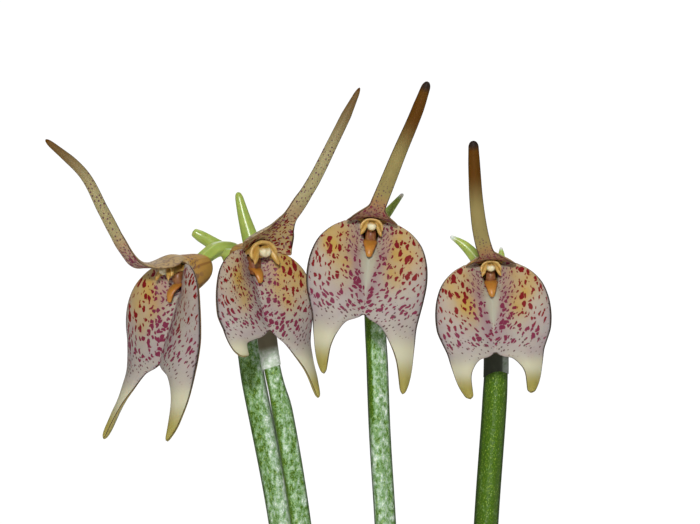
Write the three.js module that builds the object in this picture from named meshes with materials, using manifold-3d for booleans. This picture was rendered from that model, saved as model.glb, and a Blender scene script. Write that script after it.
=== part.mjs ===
// Potted Masdevallia guttulata: a tufted orchid with four spotted flowers in a clay pot.
// Millimetres, +Z up, origin at the middle of the pot's base, flowers facing -Y.

import * as THREE from 'three';
import { LoftGeometry } from 'three/addons/geometries/LoftGeometry.js';
import { mergeVertices } from 'three/addons/utils/BufferGeometryUtils.js';
import Module from 'manifold-3d';

const wasm = await Module();
wasm.setup();

// Clearances and the pot
const GAP = 0.3;
const POT = {
  height: 72, rimRadius: 42, rimHeight: 16, shoulderRadius: 38.4, footRadius: 29,
  wall: 4.2, floor: 5, sides: 40, drainHoles: 3, drainRadius: 4.5, drainCircle: 15,
};
const SOIL = {
  top: 62, bed: 60.5, roof: 68, chips: 34, chipSize: [9.5, 7, 3.8], chipTilt: 0.35, chipTurn: 137.5,
  stemDepth: 11, holeTop: 8, holeRoom: 0.25,
};

// Leaves: a slender stem, a channelled stalk and an upright leathery blade in each
const LEAF = {
  stalk: 1.5, stem: 1.15, thickness: 1.5, stemTo: 0.16, bladeFrom: 0.4, rows: 13, channel: 1.3,
  across: [-1, -0.5, 0, 0.5, 1],
};
// Bearings in degrees, then the least and the most that each size is drawn between
const INNER_LEAVES = {
  bearings: [58, 122, 238, 302], foot: 9.5, reach: [17, 18.5], height: [96, 104], width: [7, 8],
  curl: [1, 2],
};
const OUTER_LEAVES = {
  bearings: [4, 48, 96, 140, 182, 228, 266, 316], foot: 20, reach: [36, 41], height: [76, 94],
  width: [7.4, 8.8], curl: [3, 6],
};

// Flowers: where each mouth stands, how it turns, its size, its tails and its upper sepal's line.
// A tail's reach lengthens it, inward draws its tip to the middle and forward brings it to the front.
const SEPAL = { thickness: 0.7, tailThickness: 1.15, bulge: 0.85, rows: 15, overlap: 0.15 };
const FLOWERS = [
  {
    mouth: [-25.5, -4, 203.4], yaw: -50, pitch: 6, roll: 0, scale: 1.07, tip: 0.3, arch: 0.15,
    left: { reach: 0.94, inward: -0.4, forward: 1.8 }, right: { reach: 0.92, inward: 0.1, forward: 1.2 },
    dorsal: [[0, -1.7, 1.6], [0, -3.7, 1.3], [-0.2, -5.3, 1.5], [-0.5, -6.4, 3.1],
      [-1.8, -8.3, 8], [-3.3, -9.6, 12.4], [-6.2, -12, 16.6]],
  },
  {
    mouth: [-15.5, -9, 205.3], yaw: 33, pitch: 0, roll: 0, scale: 0.94, tip: 0.25, arch: 0.32,
    left: { reach: 0.42, inward: 1.2, forward: -0.9 }, right: { reach: 0.9, inward: -0.6, forward: 0 },
    dorsal: [[0, -1.6, 2.1], [0.3, -3.4, 2.5], [0.8, -4.8, 3.5], [1.7, -5.8, 5.5],
      [3.7, -7.2, 9.6], [6.4, -8.9, 15.4], [9, -10.4, 21.7]],
  },
  {
    mouth: [-1.67, -9, 208.6], yaw: 0, pitch: 0, roll: 5.5, scale: 1, tip: 0.5, arch: 0.42,
    left: { reach: 0.87, inward: 1.5, forward: 0 }, right: { reach: 1, inward: 0, forward: 0 },
    dorsal: [[0, -1.5, 2.1], [0.1, -2.9, 2.3], [0.5, -4, 3.2], [1.2, -4.9, 5.4],
      [2.2, -6.2, 9.6], [3.5, -7.6, 14], [4.7, -8.8, 18]],
  },
  {
    mouth: [12.67, -9, 203.7], yaw: 0, pitch: 0, roll: -2.4, scale: 0.96, tip: 0.6, arch: 0.42,
    left: { reach: 0.71, inward: 1.9, forward: 0 }, right: { reach: 0.67, inward: 1.3, forward: 0 },
    dorsal: [[0, -1.5, 2], [0, -2.9, 2.2], [-0.3, -4, 3], [-0.9, -5, 5],
      [-1.5, -6.3, 8.6], [-1.8, -7.6, 12.4], [-1.9, -8.8, 16.2]],
  },
];

// One half of the fused lateral sepals: paired points down its inner and outer edges
const HALF_INNER = [[1.9, 0.5, 1.2], [2.3, 0.3, 0.1], [2.1, 0.2, -1.2], [1.3, 0.2, -2.3],
  [0, 0.1, -2.9], [0, -1.2, -5.6], [0, -2.4, -8], [0, -3.2, -9.85], [2, -3.6, -11],
  [3.4, -4, -12.9], [4.4, -4.6, -14.8], [5, -5.3, -16.9], [5.4, -5.9, -18.7]];
const HALF_OUTER = [[3.3, -0.2, 1.1], [4.8, -0.7, 0.25], [6.2, -1.4, -1.2], [7, -2, -3.2],
  [7.25, -2.3, -5.4], [7.05, -2.4, -7.6], [6.75, -2.5, -9.4], [6.5, -2.7, -11], [6.45, -3.1, -12.6],
  [6.4, -3.6, -14.2], [6.35, -4.3, -15.8], [6.15, -5, -17.4], [5.75, -5.95, -18.8]];
const TAIL = { from: -7, length: 11.8, beside: 5 };

// The cup behind the sepals: depth, half width, half height and middle height of its rings
const CUP = [[4.9, 0.85, 0.9, 0.45], [4.2, 1.6, 1.85, 0.15], [2.6, 2.05, 2.2, 0],
  [1.2, 2.35, 2.4, -0.25], [0.15, 2.6, 2.55, -0.4]];
const CUP_WALL = 0.6;
const CUP_SIDES = 14;
const PETAL_HALF_WIDTH = [[0, 0.2], [0.25, 0.5], [0.5, 0.6], [0.75, 0.68], [1, 0.35]];
const LIP_HALF_WIDTH = [[0, 0.45], [0.3, 0.75], [0.6, 0.85], [0.85, 0.65], [1, 0.3]];
const DORSAL_HALF_WIDTH = [[0, 2.1], [0.09, 3], [0.18, 3.05], [0.25, 2.3], [0.33, 1.1],
  [0.42, 0.95], [0.6, 0.8], [0.85, 0.66]];

// Flower stalks from the soil to the flower, with a three-cornered section
const STALK = { base: 1.15, corners: 0.13, sides: 9, rows: 17 };
const STALKS = [
  { radius: 1.45, twist: 0.4, turn: 0.5, route: [[-4.5, 4, 0], [-4.7, 4, 18], [-6.4, 4, 55],
    [-9.6, 4, 90], [-12.9, 4, 121], [-16.3, 4, 142], [-17.6, 4, 150.5], [-18, 3.8, 153.6]] },
  { radius: 1.45, twist: 0.5, turn: 1.6, route: [[-1, -3.5, 0], [-1.2, -3.4, 18], [-3.4, -2, 55],
    [-6.8, -0.4, 91], [-9.9, 0.4, 121], [-13.3, 0.6, 140], [-15.1, 0.6, 150], [-15.7, 0.6, 153.4]] },
  { radius: 1.4, twist: 0.3, turn: 1.05, route: [[3.4, 3.4, 0], [3.2, 3.3, 18], [2.4, 2.6, 55],
    [1.3, 1.6, 91], [0.2, 1, 120], [-1.1, 1, 146], [-1.4, 0.8, 153], [-1.5, 0.2, 156]] },
  { radius: 1.55, twist: 0.3, turn: 0.2, route: [[7, -2.2, 0], [7.3, -2, 18], [9.4, -0.6, 55],
    [11.4, 0.6, 91], [12.6, 1, 120], [13.9, 1, 141], [13.5, 0.6, 149], [13.1, -0.2, 151.5]] },
];
const STALK_FOOT = SOIL.top - SOIL.stemDepth + GAP;

const MATERIALS = {
  pot: new THREE.MeshStandardMaterial({ color: 0xb5643c, roughness: 0.9, metalness: 0 }),
  soil: new THREE.MeshStandardMaterial({ color: 0x4a3322, roughness: 0.95, metalness: 0 }),
  leaf: new THREE.MeshStandardMaterial({ color: 0x3f6b24, roughness: 0.5, metalness: 0 }),
  stalk: new THREE.MeshStandardMaterial({ color: 0x6d9440, roughness: 0.35, metalness: 0 }),
  sepal: new THREE.MeshStandardMaterial({ color: 0xcbb9a4, roughness: 0.55, metalness: 0 }),
  column: new THREE.MeshStandardMaterial({ color: 0xc79a4c, roughness: 0.4, metalness: 0 }),
  lip: new THREE.MeshStandardMaterial({ color: 0xc7702a, roughness: 0.4, metalness: 0 }),
};

const vector = (point) => new THREE.Vector3(...point);
const curve = (points) => new THREE.CatmullRomCurve3(points.map(vector), false, 'centripetal');

// A repeatable random draw between 0 and 1
function draws(seed) {
  let state = seed;
  return () => {
    state = (Math.imul(state, 1664525) + 1013904223) >>> 0;
    return state / 4294967296;
  };
}

// Straight lines between [place, value] pairs
function between(pairs, place) {
  const last = pairs.findIndex(([at]) => at >= place);
  if (last <= 0) return pairs[last < 0 ? pairs.length - 1 : 0][1];
  const [from, start] = pairs[last - 1];
  const [to, end] = pairs[last];
  return THREE.MathUtils.lerp(start, end, (place - from) / (to - from));
}

// A closed geometry as a manifold body, with shared corners merged and its faces outward
function solid(geometry) {
  const bare = new THREE.BufferGeometry().copy(geometry);
  bare.deleteAttribute('normal');
  bare.deleteAttribute('uv');
  const merged = mergeVertices(bare, 1e-4);
  const points = merged.attributes.position.array;
  const faces = [];
  const corners = merged.index.array;
  for (let i = 0; i < corners.length; i += 3) {
    const [a, b, c] = corners.slice(i, i + 3);
    if (a !== b && b !== c && c !== a) faces.push([a, b, c]);
  }
  const corner = (i) => new THREE.Vector3().fromArray(points, 3 * i);
  const volume = faces.reduce((sum, [a, b, c]) => sum + corner(a).dot(corner(b).cross(corner(c))), 0);
  if (volume < 0) faces.forEach((face) => face.reverse());
  return new wasm.Manifold(new wasm.Mesh({
    numProp: 3, vertProperties: Float32Array.from(points), triVerts: Uint32Array.from(faces.flat()),
  }));
}

// One named mesh made of bodies grown into each other
function piece(name, material, bodies) {
  const body = bodies.reduce((sum, next) => sum.add(next)).simplify(0.02);
  const { vertProperties, triVerts } = body.getMesh();
  const geometry = new THREE.BufferGeometry();
  geometry.setAttribute('position', new THREE.BufferAttribute(vertProperties, 3));
  geometry.setIndex(new THREE.BufferAttribute(triVerts, 1));
  geometry.computeVertexNormals();
  const mesh = new THREE.Mesh(geometry, material);
  mesh.name = name;
  return mesh;
}

// The back of a sheet is split along the same diagonals as its front, so they never cross
function matchDiagonals(geometry, rings, points) {
  const index = geometry.index.array;
  for (let ring = 0; ring < rings - 1; ring++) {
    for (let j = points / 2; j < points; j++) {
      const at = 6 * (ring * points + j);
      const [a, b, d, , c] = index.slice(at, at + 5);
      index.set([a, b, c, a, c, d], at);
    }
  }
}

// A thick sheet about a middle surface: across runs from -1 to 1 and along from 0 to 1
function sheet(middle, halfThickness, rows, across) {
  const step = 1e-3;
  const sections = [];
  for (let row = 0; row <= rows; row++) {
    const t = row / rows;
    const front = [];
    const back = [];
    for (const s of across) {
      const over = middle(Math.min(s + step, 1), t).sub(middle(Math.max(s - step, -1), t));
      const along = middle(s, Math.min(t + step, 1)).sub(middle(s, Math.max(t - step, 0)));
      const offset = over.cross(along).normalize().multiplyScalar(halfThickness(s, t));
      const point = middle(s, t);
      front.push(point.clone().add(offset));
      back.unshift(point.sub(offset));
    }
    sections.push([...front, ...back]);
  }
  const geometry = new LoftGeometry(sections, { capStart: true, capEnd: true });
  matchDiagonals(geometry, sections.length, sections[0].length);
  return solid(geometry);
}

// A rounded, fluted stem along a curve, with its radius and corners given along it
function stem(path, radiusAt, { sides = 8, rows = 8, corners = 0, turn = 0, twist = 0, lobes = 3 } = {}) {
  const frames = path.computeFrenetFrames(rows, false);
  const sections = [];
  for (let row = 0; row <= rows; row++) {
    const t = row / rows;
    const centre = path.getPointAt(t);
    sections.push(Array.from({ length: sides }, (_, k) => {
      const angle = (k / sides) * 2 * Math.PI;
      const radius = radiusAt(t) * (1 + corners * Math.cos(lobes * (angle - turn - twist * t)));
      return centre.clone()
        .addScaledVector(frames.normals[row], radius * Math.cos(angle))
        .addScaledVector(frames.binormals[row], radius * Math.sin(angle));
    }));
  }
  return solid(new LoftGeometry(sections, { capStart: true, capEnd: true }));
}

// A turned body: the profile's points are [radius, height]
function turned(profile, sides) {
  return solid(new THREE.LatheGeometry(profile.map((p) => new THREE.Vector2(...p)), sides)
    .rotateX(Math.PI / 2));
}

const upright = (radius, bottom, top, x, y, sides = 12) => solid(
  new THREE.CylinderGeometry(radius, radius, top - bottom, sides)
    .rotateX(Math.PI / 2).translate(x, y, (top + bottom) / 2));

// The pot's inner radius at a height
function innerRadius(height) {
  const slope = (POT.shoulderRadius - POT.footRadius) / (POT.height - POT.rimHeight);
  return POT.footRadius + slope * height - POT.wall;
}

function pot() {
  const { height, rimRadius, rimHeight, shoulderRadius, footRadius, floor, sides } = POT;
  const collar = height - rimHeight;
  const profile = [[0, 0], [footRadius - 1, 0], [footRadius, 1], [shoulderRadius, collar],
    [rimRadius - 1.2, collar + 0.6], [rimRadius - 0.6, collar + 2], [rimRadius, height - 1.5],
    [rimRadius - 1.4, height], [innerRadius(height) + 1.2, height], [innerRadius(height), height - 1.5],
    [innerRadius(floor), floor], [0, floor]];
  let body = turned(profile, sides);
  for (let k = 0; k < POT.drainHoles; k++) {
    const angle = (k / POT.drainHoles) * 2 * Math.PI + Math.PI / 2;
    body = body.subtract(upright(POT.drainRadius, -1, floor + 1,
      POT.drainCircle * Math.cos(angle), POT.drainCircle * Math.sin(angle)));
  }
  return piece('pot', MATERIALS.pot, [body]);
}

// Bark chips stand out of a bed that fills the pot; every stem has a plain hole in it
function pottingMix(stems) {
  const { floor, sides } = POT;
  const { top, bed: level, roof, chips, chipSize, chipTilt, chipTurn, stemDepth, holeTop } = SOIL;
  const random = draws(11);
  const tilt = () => chipTilt * (2 * random() - 1);
  const fill = (rise) => turned([[0, floor + GAP], [innerRadius(floor + GAP) - GAP, floor + GAP],
    [innerRadius(rise) - GAP, rise], [0, rise]], sides);
  let bed = fill(level);
  for (let k = 0; k < chips; k++) {
    const radius = (innerRadius(top) - 2) * Math.sqrt((k + 0.5) / chips);
    const angle = k * THREE.MathUtils.degToRad(chipTurn);
    const chip = new THREE.BoxGeometry(...chipSize.map((size) => size * (0.75 + 0.6 * random())));
    chip.rotateX(tilt());
    chip.rotateY(tilt());
    chip.rotateZ(Math.PI * random());
    chip.translate(radius * Math.cos(angle), radius * Math.sin(angle), top - 1 + 1.6 * random());
    bed = bed.add(solid(chip));
  }
  bed = bed.intersect(fill(roof));
  for (const { x, y, radius } of stems) {
    bed = bed.subtract(upright(radius + GAP, top - stemDepth, top + holeTop, x, y, 10));
  }
  return piece('potting_mix', MATERIALS.soil, [bed]);
}

// A leaf leans out along its bearing, from its stem in the soil to its blunt tip
function leaf(name, bearing, { foot, reach, height, width, curl }) {
  const angle = THREE.MathUtils.degToRad(bearing);
  const out = new THREE.Vector3(Math.cos(angle), Math.sin(angle), 0);
  const side = new THREE.Vector3(-Math.sin(angle), Math.cos(angle), 0);
  const { stemTo, bladeFrom, stalk, stem: stemRadius, thickness, channel, rows, across } = LEAF;
  const route = new THREE.CatmullRomCurve3([[foot, STALK_FOOT], [foot, SOIL.top + 7],
    [foot + 0.2 * (reach - foot), SOIL.top + 0.34 * height], [foot + 0.6 * (reach - foot),
      SOIL.top + 0.68 * height], [reach, SOIL.top + 0.92 * height],
    [reach + curl, SOIL.top + height]].map(([r, z]) => out.clone().multiplyScalar(r).setZ(z)));
  const halfWidth = (t) => {
    if (t < stemTo) return stemRadius;
    if (t < bladeFrom) return THREE.MathUtils.mapLinear(t, stemTo, bladeFrom, stemRadius, stalk);
    const along = (t - bladeFrom) / (1 - bladeFrom);
    return stalk * (1 - along) + width * Math.sin(Math.PI * Math.min(0.97, along) ** 1.15) ** 0.7;
  };
  const middle = (s, t) => {
    const at = route.getPointAt(t);
    const face = side.clone().cross(route.getTangentAt(t));
    const depth = channel * THREE.MathUtils.smoothstep(t, 0.3, 0.6) * (s * s - 0.35);
    return at.addScaledVector(side, s * halfWidth(t)).addScaledVector(face, -depth);
  };
  const halfThickness = (s, t) => {
    const middleThickness = THREE.MathUtils.lerp(stemRadius, thickness / 2,
      THREE.MathUtils.smoothstep(t, 0.2, bladeFrom + 0.1));
    return middleThickness * (1 - 0.5 * s * s);
  };
  return piece(name, MATERIALS.leaf, [sheet(middle, halfThickness, rows, across)]);
}

function leaves() {
  const random = draws(5);
  const drawn = ([least, most]) => THREE.MathUtils.lerp(least, most, random());
  return [INNER_LEAVES, OUTER_LEAVES].flatMap(({ bearings, foot, reach, height, width, curl }) => (
    bearings.map((bearing) => ({
      bearing, foot, reach: drawn(reach), height: drawn(height), width: drawn(width), curl: drawn(curl),
    }))
  ));
}

// One half of the fused lateral sepals, with its tail
function lateral(sign, { reach, inward, forward }) {
  const inner = curve(HALF_INNER);
  const outer = curve(HALF_OUTER);
  const { thickness, tailThickness, bulge, overlap, rows } = SEPAL;
  const middle = (s, t) => {
    const edge = inner.getPoint(t);
    edge.x = Math.max(edge.x, 0) - overlap;
    const point = edge.lerp(outer.getPoint(t), (s + 1) / 2);
    point.y -= bulge * Math.sin(Math.PI * Math.min(1, t / 0.8)) * (1 - s * s);
    const beside = THREE.MathUtils.smoothstep(point.x, 0, TAIL.beside);
    const down = Math.max(0, TAIL.from - point.z);
    const pull = (down / TAIL.length) ** 1.2 * beside;
    point.z -= down * (reach - 1) * beside;
    point.x = sign * (point.x - inward * pull);
    point.y -= forward * pull;
    return point;
  };
  const halfThickness = (s, t) => {
    const middleThickness = THREE.MathUtils.lerp(thickness, tailThickness,
      THREE.MathUtils.smoothstep(t, 0.65, 0.9)) / 2;
    return middleThickness * (1 - 0.45 * s * s);
  };
  return sheet(middle, halfThickness, rows, [-1, -0.55, 0, 0.5, 1]);
}

// The hooded upper sepal, arched over the column and drawn out into a long tail
function dorsal(route, tip, archDepth) {
  const path = curve([[0, 0.7, 1.9], [0, -0.3, 2.1], ...route]);
  const rows = 15;
  const widths = [...DORSAL_HALF_WIDTH, [1, tip]];
  const middle = (s, t) => {
    const width = between(widths, t);
    const tangent = path.getTangentAt(t);
    const side = new THREE.Vector3(1, 0, 0).addScaledVector(tangent, -tangent.x).normalize();
    const under = side.clone().cross(tangent);
    const arch = archDepth * width * s * s * (1 - THREE.MathUtils.smoothstep(t, 0.2, 0.4));
    return path.getPointAt(t).addScaledVector(side, s * width).addScaledVector(under, arch);
  };
  const halfThickness = (s, t) => {
    const round = THREE.MathUtils.smoothstep(t, 0.3, 0.5);
    const middleThickness = THREE.MathUtils.lerp(SEPAL.thickness / 2, 0.8 * between(widths, t), round);
    return middleThickness * (1 - 0.5 * s * s);
  };
  return sheet(middle, halfThickness, rows, [-1, -0.5, 0, 0.5, 1]);
}

// The cup is a closed bell less its hollow
function cup() {
  const rings = (shrink, shift) => CUP.map(([depth, width, height, middle]) => Array.from(
    { length: CUP_SIDES }, (_, k) => {
      const angle = (k / CUP_SIDES) * 2 * Math.PI;
      return new THREE.Vector3((width - shrink) * Math.cos(angle), depth + shift,
        middle + (height - shrink) * Math.sin(angle));
    }));
  const bell = (sections) => solid(new LoftGeometry(sections, { capStart: true, capEnd: true }));
  const outside = bell(rings(0, 0));
  const hollow = rings(CUP_WALL, -CUP_WALL);
  return { outside, hollow: bell(hollow) };
}

// The column with its anther cap, and the two petals beside it
function column() {
  const body = stem(curve([[0, 3.65, 0.4], [0, 2, 0.42], [0, 0.2, 0.5], [0, -1.2, 0.6]]),
    (t) => THREE.MathUtils.lerp(0.5, 0.45, t), { sides: 6, rows: 4 });
  const cap = solid(new THREE.SphereGeometry(0.6, 8, 6).scale(1, 0.9, 0.85).translate(0, -1.4, 0.65));
  const petal = (sign) => {
    const path = curve([[0.3, 2.9, 0.45], [0.62, 1.8, 0.5], [0.9, 0, 0.6], [1.05, -1.4, 0.25],
      [1.15, -2, -0.2]]);
    const middle = (s, t) => {
      const at = path.getPoint(t);
      const width = between(PETAL_HALF_WIDTH, t);
      at.z += 0.8 * s * width;
      at.x = sign * (at.x - 0.6 * s * width);
      return at;
    };
    return sheet(middle, (s) => 0.3 * (1 - 0.4 * s * s), 5, [-1, 0, 1]);
  };
  return [body, cap, petal(1), petal(-1)];
}

// The lip is a tongue that runs under the column and hangs its tip out of the mouth
function lip() {
  const path = curve([[0, 2.7, -0.72], [0, 1.3, -0.95], [0, -0.1, -1.25], [0, -0.95, -1.95],
    [0, -1.2, -3.1]]);
  const middle = (s, t) => {
    const width = between(LIP_HALF_WIDTH, t);
    const at = path.getPointAt(t);
    at.x = s * width;
    at.y += 0.22 * s * s * t;
    return at;
  };
  return [sheet(middle, (s) => 0.32 * (1 - 0.4 * s * s), 8, [-1, -0.4, 0.4, 1])];
}

function flower(number, { mouth, yaw, pitch, roll, scale, tip, arch, left, right, dorsal: route }) {
  const group = new THREE.Group();
  group.position.set(...mouth);
  const turns = [pitch, roll, yaw].map((angle) => THREE.MathUtils.degToRad(angle));
  group.rotation.set(...turns, 'ZXY');
  group.scale.setScalar(scale);
  const { outside, hollow } = cup();
  const sepals = [outside, lateral(1, right), lateral(-1, left), dorsal(route, tip, arch)]
    .reduce((sum, body) => sum.add(body)).subtract(hollow);
  group.add(
    piece(`flower_${number}_sepals`, MATERIALS.sepal, [sepals]),
    piece(`flower_${number}_column`, MATERIALS.column, column()),
    piece(`flower_${number}_lip`, MATERIALS.lip, lip()),
  );
  group.updateMatrixWorld(true);
  return group;
}

// A flower stalk, with the ovary that ends just behind the flower's cup
function flowerStalk(number, { radius, twist, turn, route }, extras) {
  const foot = STALK_FOOT;
  const path = curve(route.map(([x, y, z]) => [x, y, z + foot]));
  const radiusAt = (t) => THREE.MathUtils.lerp(STALK.base, radius, Math.min(1, 0.25 + 0.9 * t))
    * (1 - 0.25 * THREE.MathUtils.smoothstep(t, 0.94, 1));
  const body = stem(path, radiusAt, { ...STALK, twist, turn });
  return piece(`flower_stalk_${number}`, MATERIALS.stalk, [body, ...extras]);
}

const plant = new THREE.Group();
const flowers = FLOWERS.map((spec, i) => flower(i + 1, spec));
const rearOf = (i) => flowers[i].localToWorld(new THREE.Vector3(0, CUP[0][0] + GAP, CUP[0][3]));

// The ovary joins a stalk's top to the cup; bracts and a bud grow beside it
function ovary(i) {
  const end = rearOf(i);
  const back = flowers[i].localToWorld(new THREE.Vector3(0, CUP[0][0] + 2, CUP[0][3]));
  const [x, y, z] = STALKS[i].route.at(-1);
  const top = new THREE.Vector3(x, y, z + STALK_FOOT - 0.8);
  const path = new THREE.CatmullRomCurve3([top, top.clone().lerp(back, 0.5).setZ(
    (top.z + back.z) / 2 + 0.4), back, end]);
  return stem(path, (t) => 0.95 - 0.12 * (2 * t - 1) ** 2, { sides: 12, rows: 7, corners: 0.07, lobes: 6 });
}

function bract(points, radii) {
  return stem(curve(points), (t) => between(radii, t), { sides: 8, rows: 7 });
}

const extras = [
  [ovary(0), bract([[-17.9, 3.9, 204.4], [-19.3, 3.4, 206], [-21.6, 3, 207.5], [-23.8, 2.6, 208.8]],
    [[0, 0.8], [0.5, 0.9], [0.85, 0.75], [1, 0.5]])],
  [ovary(1), bract([[-15.6, 0.7, 204.2], [-16.6, 0.9, 207.3], [-17.5, 0.9, 210.7], [-18.1, 0.9, 213.7]],
    [[0, 0.8], [0.35, 0.98], [0.7, 0.75], [0.94, 0.5], [1, 0.25]])],
  [ovary(2), bract([[-1.5, 0.4, 206.6], [-0.8, 0.7, 209.4], [0.7, 0.7, 211.4], [2.4, 0.7, 213.5]],
    [[0, 0.8], [0.4, 0.8], [0.75, 0.45], [1, 0.2]])],
  [ovary(3), bract([[13.2, 0, 202.2], [11.9, 0.6, 204.8], [10, 0.6, 207], [8.2, 0.6, 208.2]],
    [[0, 0.8], [0.4, 0.9], [0.75, 0.6], [1, 0.2]])],
];

const leafSpecs = leaves();
const stems = [
  ...STALKS.map(({ route: [[x, y]] }) => (
    { x, y, radius: STALK.base * (1 + STALK.corners) + SOIL.holeRoom })),
  ...leafSpecs.map(({ bearing, foot }) => {
    const angle = THREE.MathUtils.degToRad(bearing);
    return { x: foot * Math.cos(angle), y: foot * Math.sin(angle), radius: LEAF.stem + SOIL.holeRoom };
  }),
];

plant.add(pot(), pottingMix(stems));
leafSpecs.forEach(({ bearing, ...spec }, i) => plant.add(leaf(`leaf_${i + 1}`, bearing, spec)));
STALKS.forEach((spec, i) => plant.add(flowerStalk(i + 1, spec, extras[i])));
plant.add(...flowers);

export default plant;
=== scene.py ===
"""Dresses a potted Masdevallia guttulata: spotted flowers, stalks, leaves, bark and a clay pot.

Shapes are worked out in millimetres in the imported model's frame, and made in metres.
"""

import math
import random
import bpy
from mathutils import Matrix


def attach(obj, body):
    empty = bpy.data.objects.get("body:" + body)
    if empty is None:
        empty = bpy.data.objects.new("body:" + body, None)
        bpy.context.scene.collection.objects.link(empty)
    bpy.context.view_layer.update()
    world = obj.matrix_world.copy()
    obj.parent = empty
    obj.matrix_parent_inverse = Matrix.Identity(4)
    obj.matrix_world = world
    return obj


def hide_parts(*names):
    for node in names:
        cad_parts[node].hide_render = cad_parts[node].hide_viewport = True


bl_info = {
    "name": "Potted Masdevallia",
    "version": (1, 0, 0),
    "blender": (4, 5, 0),
    "location": "View3D > Sidebar > Orchid",
    "description": "Builds a small spotted orchid with four flowers in a clay pot",
    "category": "Add Mesh",
}

import bmesh
import bpy
from bpy.props import FloatProperty, FloatVectorProperty, PointerProperty
from mathutils import Matrix, Vector, noise

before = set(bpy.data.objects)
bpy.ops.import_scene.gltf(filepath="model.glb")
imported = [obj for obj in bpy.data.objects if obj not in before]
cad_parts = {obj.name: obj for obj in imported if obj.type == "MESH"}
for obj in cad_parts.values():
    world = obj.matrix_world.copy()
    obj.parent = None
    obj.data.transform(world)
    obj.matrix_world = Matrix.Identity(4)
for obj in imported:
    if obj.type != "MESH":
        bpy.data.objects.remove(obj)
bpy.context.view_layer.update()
MM = 0.001
UP = Vector((0, 0, 1))
# Plant tissue, clay and bark all bend light about as much
IOR = 1.45

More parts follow.
